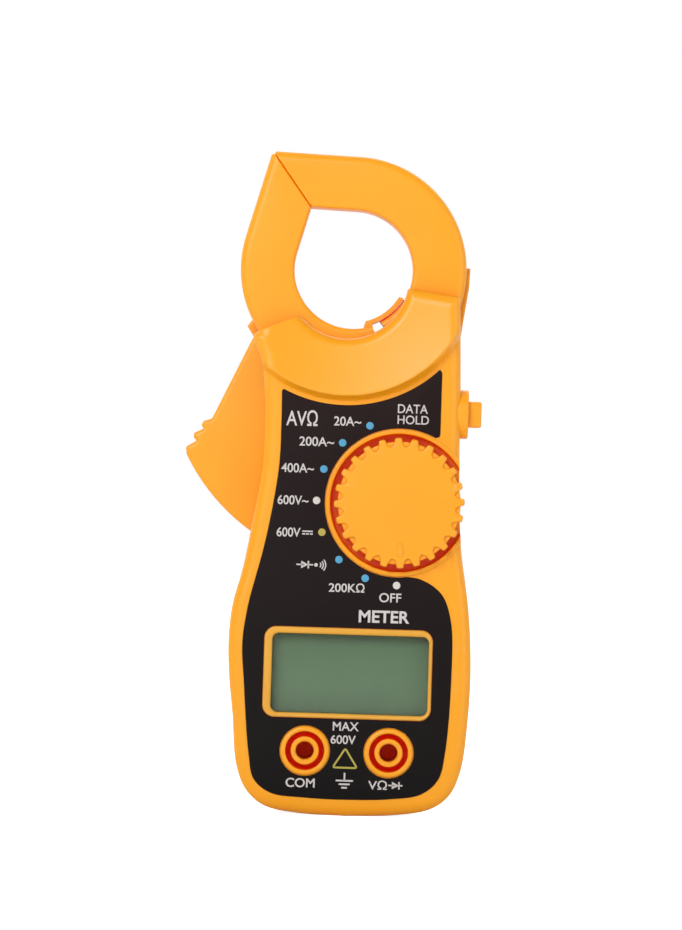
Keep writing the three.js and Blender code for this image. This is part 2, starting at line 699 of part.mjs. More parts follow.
function fixedJaw(back, front) {
  const ledge = slab(outline(LEDGE_OUTLINE), LEDGE.back, LEDGE.front);
  const half = common(join(ring(), ledge), slab(fixedSide, BEHIND_Y, BEFORE_Y), depthRange(back, front));
  return cut(half, tube(PIVOT.x, PIVOT.z, HUB_RADIUS + 1, BEHIND_Y, BEFORE_Y));
}

// A stretch of ring inside the fixed jaw, for the coil and its bobbin.
function sector(inner, outer, halfDepth, fromDeg, toDeg) {
  const shape = outline([...arc(JAW, outer, fromDeg, toDeg, 10), ...arc(JAW, inner, toDeg, fromDeg, 10)]);
  return slab(shape, JAW_SEAM_Y + halfDepth, JAW_SEAM_Y - halfDepth);
}

const swingingPocket = corePart(FIT, SPLIT_DEG - 5, 270);
const swingingFront = swingingJaw(JAW_SEAM_Y - 0.05, -40);
const trigger = rounded(TRIGGER_OUTLINE, JAW_BACK_Y, JAW_SEAM_Y + 0.05, 0.8, 0.8);
const swingingRear = join(swingingJaw(0, JAW_SEAM_Y + 0.05), trigger);
add("swinging_jaw_front_cover", cut(swingingFront, swingingPocket, pivotBore), "orange");
add("swinging_jaw_rear_cover", cut(swingingRear, swingingPocket, pivotBore), "orange");
add("swinging_jaw_core", corePart(0, SPLIT_DEG + 0.8, 269), "steel");

const leadHole = block(13, 16, JAW_SEAM_Y - 1.2, JAW_SEAM_Y + 2.6, 99, 108.5);
const fixedPocket = join(
  corePart(FIT, -61.5, SPLIT_DEG + 5),
  sector(COIL.inner - 0.2, COIL.outer + 0.2, COIL.halfDepth + 0.15, COIL.from - 0.6, COIL.to + 0.6),
);
add("fixed_jaw_front_cover", cut(fixedJaw(JAW_SEAM_Y - 0.05, -40), fixedPocket), "orange");
add("fixed_jaw_rear_cover", cut(fixedJaw(0, JAW_SEAM_Y + 0.05), fixedPocket, leadHole), "orange");
add("fixed_jaw_core", corePart(0, -60, SPLIT_DEG - 0.8), "steel");

const CORE_EDGE = WINDOW_RADIUS + CORE_INNER;
const sleeve = (growth, fromDeg, toDeg) =>
  sector(CORE_EDGE - growth, CORE_EDGE + CORE_WIDTH + growth, CORE_HALF_DEPTH + growth, fromDeg, toDeg);
const flange = (fromDeg) => sector(COIL.inner, COIL.outer, COIL.halfDepth, fromDeg, fromDeg + 1.8);
const bobbin = cut(
  join(sleeve(0.55, COIL.from, COIL.to), flange(COIL.from), flange(COIL.to - 1.8)),
  sleeve(FIT, COIL.from - 5, COIL.to + 5),
);
const winding = cut(
  sector(COIL.inner + 0.1, COIL.outer - 0.4, COIL.halfDepth - 0.2, COIL.from + 2, COIL.to - 2),
  sleeve(0.75, COIL.from - 5, COIL.to + 5),
);
add("coil_bobbin", bobbin, "white");
add("coil_winding", winding, "copper");

add("jaw_pivot_pin", tube(PIVOT.x, PIVOT.z, PIN_RADIUS, PIN_BACK_Y, PIN_FRONT_Y, 24), "steel");

const RETURN_SPRING = { x: -8.7, y: -15.9, low: 88.8, length: 9.85, radius: 2, wire: 0.3, turns: 6 };
function returnSpring({ x, y, low, length, radius, wire: thickness, turns }) {
  return wire(new Helix(radius, length, turns), thickness, turns * 8, 5).translate(x, y, low);
}
add("jaw_return_spring", returnSpring(RETURN_SPRING), "steel");

// ---------------------------------------------------------------- range dial

function dialKnob() {
  const pitch = 360 / KNOB_TEETH;
  const teeth = [];
  for (let i = 0; i < KNOB_TEETH; i++) {
    const middle = -90 + KNOB_REST_DEG + i * pitch;
    for (const share of [-0.19, 0.19]) teeth.push(onCircle(DIAL, KNOB_RADIUS, middle + pitch * share));
    for (const share of [0.33, 0.67]) teeth.push(onCircle(DIAL, KNOB_NOTCH_RADIUS, middle + pitch * share));
  }
  const pointer = block(-0.9, 0.9, KNOB_TOP_Y - 0.3, KNOB_TOP_Y + 1, -12.6, -9.6)
    .rotateY(rad(-KNOB_REST_DEG))
    .translate(DIAL.x, 0, DIAL.z);
  return join(
    rounded(teeth, -21, KNOB_TOP_Y, 0.5),
    tube(DIAL.x, DIAL.z, KNOB_SKIRT.radius, DIAL_FLOOR_Y - RUN, KNOB_SKIRT.front, 32),
    tube(DIAL.x, DIAL.z, DIAL_SHAFT_RADIUS, -17.85, -21.5, 24),
    pointer,
  );
}
add("dial_knob", dialKnob(), "orange");

// The rotor hangs under the dial's floor; two sprung balls in its slots click into the detent ring.
const ROTOR = { radius: 12.9, back: -16.35, front: -17.75, slot: 1.9, ball: 0.75, ballAt: 12.1 };
const slots = [0, 180].map((deg) =>
  block(6, 14, ROTOR.front - 1, ROTOR.back + 1, -ROTOR.slot / 2, ROTOR.slot / 2)
    .rotateY(rad(deg))
    .translate(DIAL.x, 0, DIAL.z),
);
add("dial_rotor", cut(tube(DIAL.x, DIAL.z, ROTOR.radius, ROTOR.back, ROTOR.front, 32), ...slots), "white");
[1, -1].forEach((side, i) => {
  const y = (ROTOR.front + ROTOR.back) / 2;
  const ball = new THREE.SphereGeometry(ROTOR.ball, 10, 6).translate(DIAL.x + side * ROTOR.ballAt, y, DIAL.z);
  add(`detent_ball_${i + 1}`, ball, "steel");
  const spring = wire(new Helix(0.5, 4.6, 6), 0.12, 36, 4)
    .rotateY(Math.PI / 2)
    .translate(DIAL.x + (side > 0 ? 6.4 : -11), y, DIAL.z);
  add(`detent_spring_${i + 1}`, spring, "steel");
});
const wiper = (deg) =>
  join(
    slab(outline([...arc(DIAL, 11.4, deg, deg + 70, 10), ...arc(DIAL, 5.4, deg + 70, deg, 10)]), -16, -16.3),
    ...[6.2, 10.6].map((r) => {
      const foot = onCircle(DIAL, r, deg + 35);
      return tube(foot.x, foot.y, 0.5, -15.5, -16.1, 12);
    }),
  );
add("wiper_contact_1", wiper(40), "brass");
add("wiper_contact_2", wiper(220), "brass");

// ---------------------------------------------------------------- hold button

const button = join(
  sideways(pad(BUTTON.width / 2, BUTTON.length / 2, 0.9), 20.4, BUTTON.tip, BUTTON.y, BUTTON.z),
  sideways(pad(BUTTON.width / 2 + 0.9, BUTTON.length / 2 + 0.9, 1.4), 20.2, 21.1, BUTTON.y, BUTTON.z),
);
add("hold_button", button, "orange");
add("hold_switch_plunger", barX(16.6, 20.05, BUTTON.y, BUTTON.z, 1), "dark");
const SWITCH = { x0: 14.2, x1: 18.4, y0: -19.4, y1: -15.45 };
const switchBody = cut(
  block(SWITCH.x0, SWITCH.x1, SWITCH.y0, SWITCH.y1, BUTTON.z - 3, BUTTON.z + 3),
  barX(15.4, 20, BUTTON.y, BUTTON.z, 1.15),
);
add("hold_switch_body", switchBody, "dark");

// ---------------------------------------------------------------- display

const lens = join(
  slab(roundedBox(DISPLAY, -0.1), -20.6, LENS_FRONT_Y),
  slab(roundedBox(DISPLAY, 1), -20.2, -20.9),
);
add("display_lens", lens, "lens");
const GLASS = { left: -18.1, right: 18.45, low: 21.6, high: 42.6 };
add("display_glass", block(GLASS.left, GLASS.right, -19.9, -17.8, GLASS.low, GLASS.high), "display");
add(
  "display_frame",
  cut(
    solid(block(GLASS.left - 0.8, GLASS.right + 0.8, -19.9, -15.45, GLASS.low - 0.9, GLASS.high + 1.2)),
    block(GLASS.left - FIT, GLASS.right + FIT, -21, -17.7, GLASS.low - FIT, GLASS.high + FIT),
    block(GLASS.left + 2, GLASS.right - 2, -21, -15, GLASS.low + 1, GLASS.high - 1),
    block(-16.1, 15.9, -21, -15, GLASS.low + 0.1, GLASS.low + 3),
  ),
  "white",
);
add("zebra_strip", block(-16, 15.8, -17.75, -15.45, GLASS.low + 0.2, GLASS.low + 2.2), "dark");

// ---------------------------------------------------------------- board and what stands on it

const besideTheWalls = inset([...LEFT_SIDE, ...RIGHT_SIDE], WALL + 1.8);
const BOARD_OUTLINE = [
  ...besideTheWalls.filter((p) => p.y > 3 && p.y < (p.x > 0 ? 95 : 85)),
  point(19.4, 95),
  point(4, 95),
  point(1, 85.5),
  point(-17.6, 85.5),
];
function mainBoard() {
  let board = solid(slab(outline(BOARD_OUTLINE), BOARD_BACK_Y, BOARD_FRONT_Y));
  for (const [x, z] of SCREWS) board = cut(board, tube(x, z, 3.4, -10, -20, 16));
  return cut(
    board,
    ...[-1, 1].map((side) => tube(side * SOCKET.x, SOCKET.z, SOCKET.rim + RUN, -10, -20)),
    block(-30, -23.4, -20, -10, 27, 42.4),
    block(18.8, 25, -20, -10, BUTTON.z - 4.2, 100),
  );
}

function chipBlob() {
  const profile = Array.from({ length: 7 }, (_, i) => {
    const angle = rad(15 * i);
    return new THREE.Vector2(5 * Math.sin(angle), 1.5 * Math.cos(angle));
  });
  const dome = new THREE.LatheGeometry([new THREE.Vector2(0, 0), ...flipped(profile)], 24);
  return dome.rotateX(Math.PI).translate(-3, BOARD_FRONT_Y - 0.02, 50.5);
}

const trimmerBody = block(10.5, 13.5, BOARD_BACK_Y + 0.05, -11.6, 50, 53);
const trimmerSlot = block(11, 13, -12, -11, 51.3, 51.7);

add("main_board", mainBoard(), "board");
add("chip_blob", chipBlob(), "dark");
add("buzzer_disc", tube(13.2, 84, 6.5, BOARD_BACK_Y + 1.2, BOARD_BACK_Y + 0.05, 30), "brass");
add("thermistor", tube(0, 15.5, 3.2, -9.9, BOARD_BACK_Y + 0.05, 24), "red");
add("trimmer", cut(trimmerBody, trimmerSlot), "cell");

// The two test sockets are plain brass tubes with a soldering flange.
for (const [name, side] of [["common_socket", -1], ["voltage_socket", 1]]) {
  const x = side * SOCKET.x;
  const sleeveBody = join(
    tube(x, SOCKET.z, SLEEVE.radius, SLEEVE.back, SLEEVE.front, 24),
    tube(x, SOCKET.z, SLEEVE.flange, SLEEVE.flangeBack, SLEEVE.flangeFront, 24),
  );
  add(name, cut(sleeveBody, tube(x, SOCKET.z, SOCKET.bore, BEHIND_Y, BEFORE_Y, 24)), "brass");
}

const lead = (points, radius) =>
  wire(new THREE.CatmullRomCurve3(points.map((p) => new THREE.Vector3(...p))), radius, 10, 5);
const LEAD_RADIUS = 0.45;
const firstLead = [[14.2, -10.6, 108], [14, -10.8, 103], [13.4, -11.6, 99.5], [12.6, -12.8, 97.4]];
const secondLead = [[15.4, -10.6, 108.4], [15.3, -10.8, 103], [15.2, -11.6, 99.5], [15, -12.8, 97.4]];
add("coil_lead_1", lead(firstLead, LEAD_RADIUS), "red");
add("coil_lead_2", lead(secondLead, LEAD_RADIUS), "dark");

// ---------------------------------------------------------------- battery bay

const CELL_LENGTH = 43.7;
const NUB = { radius: 1.9, length: 0.8 };
CELL_ROWS.forEach((z, i) => {
  const side = i === 0 ? 1 : -1; // where the raised pole points
  const pole = side * 23.85;
  const base = pole - side * NUB.length;
  const end = base - side * CELL_LENGTH;
  const cell = join(
    barX(Math.min(base, end), Math.max(base, end), CELL_Y, z, CELL_RADIUS, 32),
    barX(Math.min(base - side, pole), Math.max(base - side, pole), CELL_Y, z, NUB.radius, 16),
  );
  add(i === 0 ? "battery_lower" : "battery_upper", cell, "cell");
});

// A cone-shaped wire spring that presses on a cell's flat end.
function coneSpring(side, z) {
  const end = side * 21.05;
  const plate = side * 24.1;
  const helix = new Helix(1, 1, 3.5);
  const points = helix.getPoints(28).map((p, i) => {
    const t = i / 28;
    const radius = 2.2 + 1.8 * t;
    return new THREE.Vector3(end + (plate - end) * t, CELL_Y + p.x * radius, z + p.y * radius);
  });
  return wire(new THREE.CatmullRomCurve3(points), 0.3, 28, 5);
}
const [LOWER_ROW, UPPER_ROW] = CELL_ROWS;
const contact = (z) => block(-24.4, -24.05, CELL_Y - 4, CELL_Y + 4, z - 4.6, z + 4.6);
const tab = (z) => block(-24.4, -24.05, -15, CELL_Y, z - 1, z + 1);
const tabbed = (z) => join(contact(z), tab(z));
const linkPlate = block(24.05, 24.4, CELL_Y - 4, CELL_Y + 4, LOWER_ROW - 4.6, UPPER_ROW + 4.6);
add("battery_contact_positive", tabbed(UPPER_ROW), "nickel");
add("battery_contact_negative", join(tabbed(LOWER_ROW), coneSpring(-1, LOWER_ROW)), "nickel");
add("battery_link", join(linkPlate, coneSpring(1, UPPER_ROW)), "nickel");

const part = new THREE.Group();
part.add(meter);
export default part;
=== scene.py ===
"""Looks of the clamp meter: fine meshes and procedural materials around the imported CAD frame.

Lengths in the modelling code are millimetres. Heights (z) are counted from the bottom edge of the case and
depths (y) from its flat back, the face being at negative y. to_frame() turns them into the frame's metres.
"""
import json
import math

import bmesh
import bpy
import numpy as np
from mathutils import Matrix, Vector
from mathutils.geometry import delaunay_2d_cdt


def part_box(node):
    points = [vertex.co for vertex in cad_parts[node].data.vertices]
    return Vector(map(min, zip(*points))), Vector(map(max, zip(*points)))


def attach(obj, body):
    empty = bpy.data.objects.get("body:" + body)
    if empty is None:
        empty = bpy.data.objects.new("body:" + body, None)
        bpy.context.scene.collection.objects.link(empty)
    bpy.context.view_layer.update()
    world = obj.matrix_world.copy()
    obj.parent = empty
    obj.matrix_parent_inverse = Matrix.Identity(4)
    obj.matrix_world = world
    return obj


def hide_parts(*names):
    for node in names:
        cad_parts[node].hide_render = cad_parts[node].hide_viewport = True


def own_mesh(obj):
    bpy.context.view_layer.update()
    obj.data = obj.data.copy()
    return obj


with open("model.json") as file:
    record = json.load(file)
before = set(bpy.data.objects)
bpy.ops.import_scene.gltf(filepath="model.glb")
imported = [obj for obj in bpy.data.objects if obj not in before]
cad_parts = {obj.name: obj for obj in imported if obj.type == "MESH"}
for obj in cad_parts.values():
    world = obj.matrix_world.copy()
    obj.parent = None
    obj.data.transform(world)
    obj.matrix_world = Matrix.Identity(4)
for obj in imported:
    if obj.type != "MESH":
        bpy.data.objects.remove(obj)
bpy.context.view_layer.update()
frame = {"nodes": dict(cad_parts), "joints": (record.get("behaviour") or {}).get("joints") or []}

MM = 0.001
ORIGIN_Z = 71.4


def millimetres(node):
    """A CAD node's box in the modelling code's own lengths: (x0, y0, z0), (x1, y1, z1)."""
    low, high = (np.array(corner) / MM + (0, 0, ORIGIN_Z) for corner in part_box(node))
    return low, high


# ------------------------------------------------------------------ dimensions

# Points are (x, z) and boxes (x0, z0, x1, z1), in millimetres as seen from the front.
FRONT, BACK = -30, 1  # in front of and behind everything, for tools that cut right through

# Case
FACE_Y = -22.8
SEAM_Y = -12.15
BEHIND_SEAM = -10
WALL = 1.8
SIDE_EDGE = 2.8
SEAM_GROOVE = 0.35
COLLAR = (-3, 122.1)
COLLAR_RADIUS = 13.75
COLLAR_EDGE = 2.2
COLLAR_TOP_Y = -23.4
COLLAR_TILT = -2.2
REAR_STEP = 3.2
REAR_EDGE = 1.6
STEP_CENTRE = (-3, 124)
STEP_TOP = 28.5
STEP_FOOT = 29.9
BACK_FACE_Y = -4.6  # how deep the back half is behind the jaws

# Jaws
JAW = (-1.8, 124.15)
PIVOT = (2.5, 102.2)
WINDOW_RADIUS = 13.5
RING_RADIUS = 25.7
TOP_NORMAL = 88
LEFT_NORMAL = 164.2
SPLIT = (TOP_NORMAL + LEFT_NORMAL) / 2
HUB_RADIUS = 4.5
PIN_RADIUS = 1.6
JAW_BACK_Y = -5
JAW_FRONT_Y = -19
JAW_SEAM_Y = -12
JAW_OUTER_EDGE = 2.0
JAW_INNER_EDGE = 0.9
HALF_GAP = 0.05
TIP_CUT = 0.8
SWINGING_END = ((3.6, 60), (3.6, 109.7), (2.63, 111.5), (0.2, 116))
FIXED_END = ((3.3, 114), (5.6, 111.25), (5.6, 60))
LIP_INNER, LIP_OUTER = 12.05, 13.1
LEDGE_INNER, LEDGE_OUTER = 13.2, 13.9
CORE_INNER, CORE_OUTER = 15.65, 19.95
CORE_HALF = 3.15
COIL_INNER, COIL_OUTER = 14.2, 24.1
COIL_HALF = 5.65
TRIGGER_RADIUS = 46.3
OPEN_DEG = frame["joints"][0]["range_deg"][1]

# Dial
DIAL = (10.15, 71.4)
RECESS_RADIUS = 15.6
RIM_RADIUS = 16.7
DIAL_FLOOR_Y = -19.2
DIAL_FLOOR = 1.2
DETENT_INNER, DETENT_OUTER = 13.4, 14.6
DETENT_BACK_Y = -16.4
KNOB_RADIUS = 14.8
KNOB_TEETH = 24
KNOB_TOP_Y = millimetres("dial_knob")[0][1] + 0.3
KNOB_REST = 2.5  # degrees past the off mark
SKIRT_RADIUS = 13.9
SKIRT_FRONT_Y = -26.7
CLICK = 22.5
DOT_RADIUS = 0.85
DOT_CIRCLE = 18.72

# Display
BEZEL = (-19.4, 22.15, 18.75, 42.65)
BEZEL_CORNER = 2.7
DISPLAY = (-17.6, 23.2, 17.95, 41.2)
DISPLAY_CORNER = 1.6
LENS_FRONT_Y = -22.5
LENS_BACK_Y = -20.6

# Sockets
SOCKETS = ((-9.5, 14.65), (9.5, 14.65))
SOCKET_RIM = 5.65
SOCKET_GROOVE = 4.42
SOCKET_TUBE = 3.2
SOCKET_BORE = 2.0
SLEEVE_FRONT_Y = millimetres("common_socket")[0][1] - 0.15
PLUG_STOP_Y = -9

# Button
BUTTON_LOW, BUTTON_HIGH = millimetres("hold_button")
BUTTON_AXIS = ((BUTTON_LOW[1] + BUTTON_HIGH[1]) / 2, (BUTTON_LOW[2] + BUTTON_HIGH[2]) / 2)
BUTTON_TIP = BUTTON_HIGH[0]
BUTTON_HALF_Y = 2.3
BUTTON_HALF_Z = 2.95
GUARD_TIP = 25.3
GUARD_HALF = (4.4, 5.55)

# Battery bay, screws and label
BAY = (-24.7, 22.6, 24.7, 46.8)
BAY_FLOOR_Y = -12.4
COVER_LOW, COVER_HIGH = millimetres("battery_cover")
COVER_TOP = 46.2
COVER_TAB = 5.4
COVER_DEPTH = 1.4
SCREW_PLACES = [tuple((sum(millimetres(f"case_screw_{i}")) / 2)[[0, 2]]) for i in range(1, 5)]
COVER_SCREW = tuple(sum(millimetres("battery_cover_screw"))[[0, 2]] / 2)
LABEL_LOW, LABEL_HIGH = millimetres("back_label")
BACK_LABEL = (LABEL_LOW[0], LABEL_LOW[2], LABEL_HIGH[0], LABEL_HIGH[2])

# Printing
PRINT_Y = FACE_Y - 0.22
INK = 0.03
MARK_TINTS = {"white": (0.66, 0.64, 0.6), "yellow": (0.48, 0.4, 0.07), "blue": (0.075, 0.36, 0.6)}
TRIANGLE_TINT = (0.45, 0.39, 0.06)
LEGEND_TINT = (0.62, 0.58, 0.57)

# Colours of the materials
ORANGE = (0.97, 0.385, 0.004)
ORANGE_DEEP = (0.95, 0.37, 0.003)
PAINTED_RECESS_RED = (0.62, 0.012, 0.0006)  # painted shade and painted glow: dark red-orange mixed into recesses and emitted there, and the colour of the plug stops
# How far ambient occlusion looks for recesses to paint in shade, and how bright their painted glow is.
PAINTED_RECESS_REACH = 0.004
PAINTED_EMISSION_STRENGTH = 0.42
LCD = (0.128, 0.215, 0.13)
BRASS = (0.72, 0.47, 0.17)

# Studio, in the frame's metres except the aim
FLOOR_RADIUS = 3.0
FLOOR_LIFT = 0.9
WORLD_LIGHT = 0.24
SWEEP_LIGHT = 1.2
LIGHTS = (
    ("key", (-0.58, -1.34, 0.66), (0.9, 0.6), 14.5),
    ("fill", (1.0, -0.9, 0.15), (0.7, 1.0), 4.2),
    ("back", (0.2, 1.3, 0.9), (1.0, 0.8), 4.0),
)
AIM = (-3.3, FACE_Y, 79.6)
CAMERA_DISTANCE = 1.464
CAMERA_ROLL = 1.8


# ------------------------------------------------------------------ outlines

def on_circle(centre, radius, degrees):
    angle = np.radians(degrees)
    return np.stack([centre[0] + radius * np.cos(angle), centre[1] + radius * np.sin(angle)], -1)


def arc(centre, radius, start, stop, step=0.5):
    count = max(2, round(abs(math.radians(stop - start)) * radius / step) + 1)
    return on_circle(centre, radius, np.linspace(start, stop, count))


def circle(centre, radius, step=0.5):
    count = max(12, round(2 * math.pi * radius / step))
    return on_circle(centre, radius, np.arange(count) * 360 / count)


def smooth(corners, step=0.7):
    """A centripetal Catmull-Rom curve through the corners, sampled about every step."""
    points = np.array(corners, float)
    points = np.vstack([2 * points[0] - points[1], points, 2 * points[-1] - points[-2]])
    out = [points[1]]
    for p0, p1, p2, p3 in zip(points, points[1:], points[2:], points[3:]):
        t0 = 0.0
        t1 = t0 + np.linalg.norm(p1 - p0) ** 0.5
        t2 = t1 + np.linalg.norm(p2 - p1) ** 0.5
        t3 = t2 + np.linalg.norm(p3 - p2) ** 0.5
        count = max(1, round(np.linalg.norm(p2 - p1) / step))
        for t in np.linspace(t1, t2, count + 1)[1:]:
            def between(a, b, start, stop):
                return (stop - t) / (stop - start) * a + (t - start) / (stop - start) * b
            middle = between(p1, p2, t1, t2)
            before = between(between(p0, p1, t0, t1), middle, t0, t2)
            after = between(middle, between(p2, p3, t2, t3), t1, t3)
            out.append(between(before, after, t1, t2))
    return np.array(out)


def straight(start, stop, step=0.8):
    count = max(1, round(math.dist(start, stop) / step))
    return np.linspace(start, stop, count + 1)


def chain(*runs):
    """Runs of points joined end to end, without repeated points and with long gaps filled in."""
    points = np.vstack([np.atleast_2d(run) for run in runs])
    out = [points[0]]
    for point in points[1:]:
        gap = math.dist(out[-1], point)
        if gap > 1.2:
            out.extend(straight(out[-1], point)[1:])
        elif gap > 1e-3:
            out.append(point)
    last = math.dist(out[-1], out[0])
    if last > 1.2:
        out.extend(straight(out[-1], out[0])[1:-1])
    elif last < 1e-3:
        out.pop()
    return np.array(out)


def rounded_corners(corners, radius, step=0.15):
    """A polygon with the same small radius on each corner; a corner given a third number has its own."""
    out = []
    count = len(corners)
    for i, corner in enumerate(corners):
        here = np.array(corner[:2], float)
        own = corner[2] if len(corner) > 2 else radius
        before = np.array(corners[i - 1][:2], float)
        after = np.array(corners[(i + 1) % count][:2], float)
        a, b = before - here, after - here
        la, lb = np.linalg.norm(a), np.linalg.norm(b)
        a, b = a / la, b / lb
        half = math.acos(np.clip(a @ b, -1, 1)) / 2
        reach = min(own / math.tan(half), 0.45 * la, 0.45 * lb)
        r = reach * math.tan(half)
        if own < 1e-6 or math.degrees(half) > 88:
            out.append(here[None])
            continue
        centre = here + (a + b) / np.linalg.norm(a + b) * r / math.sin(half)
        first, last = here + a * reach - centre, here + b * reach - centre
        start = math.atan2(first[1], first[0])
        sweep = (math.atan2(last[1], last[0]) - start + math.pi) % (2 * math.pi) - math.pi
        steps = max(2, round(abs(sweep) * r / step))
        out.append(on_circle(centre, r, np.degrees(np.linspace(start, start + sweep, steps + 1))))
    return chain(*out)


def box_outline(box, corner):
    x0, z0, x1, z1 = box
    return rounded_corners([(x0, z0), (x1, z0), (x1, z1), (x0, z1)], corner)


def grown(box, growth):
    return (box[0] - growth, box[1] - growth, box[2] + growth, box[3] + growth)


def area(loop):
    x, z = loop.T
    return 0.5 * np.sum(x * np.roll(z, -1) - z * np.roll(x, -1))


def offset(loop, distance):
    """The loop moved inwards by the distance (outwards if negative)."""
    if area(loop) < 0:
        loop = loop[::-1]
    before = loop - np.roll(loop, 1, 0)
    after = np.roll(loop, -1, 0) - loop
    unit = before / np.linalg.norm(before, axis=1)[:, None]
    unit2 = after / np.linalg.norm(after, axis=1)[:, None]
    normal = np.stack([-(unit + unit2)[:, 1], (unit + unit2)[:, 0]], -1)
    normal /= np.maximum(np.linalg.norm(normal, axis=1), 1e-9)[:, None]
    miter = np.maximum(0.5, normal[:, 0] * -unit[:, 1] + normal[:, 1] * unit[:, 0])
    return loop + normal * (distance / miter)[:, None]


def inside(points, loops):
    """Which points are inside an odd number of the loops."""
    result = np.zeros(len(points), bool)
    for loop in loops:
        a, b = loop, np.roll(loop, -1, 0)
        for (ax, az), (bx, bz) in zip(a, b):
            if az == bz:
                continue
            crosses = (az > points[:, 1]) != (bz > points[:, 1])
            at = ax + (points[:, 1] - az) * (bx - ax) / (bz - az)
            result ^= crosses & (points[:, 0] < at)
    return result


def distance(points, line, closed=True):
    """Distance of each point from a line of points."""
    a = line if closed else line[:-1]
    b = np.roll(line, -1, 0) if closed else line[1:]
    ab = b - a
    length2 = np.maximum((ab ** 2).sum(1), 1e-12)
    out = np.empty(len(points))
    for i in range(0, len(points), 1500):
        ap = points[i:i + 1500, None] - a
        t = np.clip((ap * ab).sum(2) / length2, 0, 1)
        out[i:i + 1500] = np.sqrt(((ap - t[..., None] * ab) ** 2).sum(2).min(1))
    return out


def fillet(d, width, drop=None):
    """How far a rounded edge has dropped at distance d from the edge."""
    drop = width if drop is None else drop
    t = 1 - np.clip(d / width, 0, 1)
    return drop * (1 - np.sqrt(np.maximum(0, 1 - t * t)))


def blend(value, start, stop):
    """0 before start, 1 after stop, smooth between them."""
    t = np.clip((value - start) / (stop - start), 0, 1)
    return t * t * (3 - 2 * t)


EDGE_STEPS = np.radians([0, 12, 25, 38, 51, 64, 77, 90])


def round_over(radius, y, size, inward=False):
    """Profile points of a rounded front edge: from the side to the face, or from the face into a bore."""
    if inward:
        return [(radius + size * (1 - math.sin(a)), y + size * (1 - math.cos(a))) for a in EDGE_STEPS]
    return [(radius - size * (1 - math.cos(a)), y + size * (1 - math.sin(a))) for a in EDGE_STEPS]


def rings(loop, width):
    """Sample points at the right distances inside a loop for a rounded edge of that width."""
    out = []
    for d in width * (1 - np.cos(EDGE_STEPS))[1:]:
        ring = offset(loop, d)
        out.append(ring[distance(ring, loop) > 0.97 * d])
    return np.vstack(out)


# ------------------------------------------------------------------ meshes

def to_frame(points):
    return (np.asarray(points, float) - (0, 0, ORIGIN_Z)) * MM


FLOOR_Z = to_frame([(0, 0, 0)])[0][2]


def piece(name, vertices, faces):
    mesh = bpy.data.meshes.new(name)
    mesh.from_pydata(to_frame(vertices).tolist(), [], [list(map(int, f)) for f in faces])
    mesh.validate()
    made = bpy.data.objects.new(name, mesh)
    bpy.context.scene.collection.objects.link(made)
    return made


def depth_function(value):
    return value if callable(value) else lambda points: np.full(len(points), float(value))


def plate(name, loops, front, back, samples=()):
    """A closed solid between two depth functions over the region that the loops bound."""
    front, back = depth_function(front), depth_function(back)
    loops = [np.asarray(loop) for loop in loops]
    extra = np.vstack([s for s in samples if len(s)]) if len(samples) else np.empty((0, 2))
    if len(extra):
        extra = extra[inside(extra, loops)]
    edges, start = [], 0
    for loop in loops:
        count = len(loop)
        edges += [(start + i, start + (i + 1) % count) for i in range(count)]
        start += count
    points = np.vstack([*loops, extra])
    flat, _, faces, _, _, _ = delaunay_2d_cdt([Vector(p) for p in points], edges, [], 0, 1e-5)
    flat = np.array([tuple(v) for v in flat])
    faces = np.array(faces)
    faces = faces[inside(flat[faces].mean(1), loops)]
    corner = flat[faces]
    turn = np.cross(corner[:, 1] - corner[:, 0], corner[:, 2] - corner[:, 0])
    faces[turn < 0] = faces[turn < 0][:, ::-1]
    used, faces = np.unique(faces, return_inverse=True)
    faces, flat = faces.reshape(-1, 3), flat[used]
    count = len(flat)
    directed = {(a, b) for f in faces for a, b in zip(f, np.roll(f, -1))}
    walls = [(a + count, b + count, b, a) for a, b in directed if (b, a) not in directed]
    vertices = np.vstack([np.insert(flat, 1, depth(flat), axis=1) for depth in (front, back)])
    backs = faces[:, ::-1] + count
    return piece(name, vertices, [*faces, *backs, *walls])


def turned(name, centre, profile, steps=96):
    """A solid of revolution about an axis along Y; its profile lists (radius, y) and may end on the axis."""
    angles = np.arange(steps) * 2 * math.pi / steps
    vertices, rows = [], []
    for radius, y in profile:
        if radius < 1e-9:
            rows.append([len(vertices)] * steps)
            vertices.append((centre[0], y, centre[1]))
        else:
            rows.append(list(range(len(vertices), len(vertices) + steps)))
            ring = [(radius * math.cos(a), radius * math.sin(a)) for a in angles]
            vertices += [(centre[0] + x, y, centre[1] + z) for x, z in ring]
    pairs = list(zip(rows, rows[1:]))
    if profile[0][0] > 1e-9:
        pairs.append((rows[-1], rows[0]))
    faces = []
    for low, high in pairs:
        for i in range(steps):
            j = (i + 1) % steps
            face = list(dict.fromkeys((low[i], low[j], high[j], high[i])))
            if len(face) > 2:
                faces.append(face)
    made = piece(name, vertices, faces)
    recalculate(made)
    return made


def recalculate(made):
    mesh = bmesh.new()
    mesh.from_mesh(made.data)
    bmesh.ops.recalc_face_normals(mesh, faces=mesh.faces)
    mesh.to_mesh(made.data)
    mesh.free()


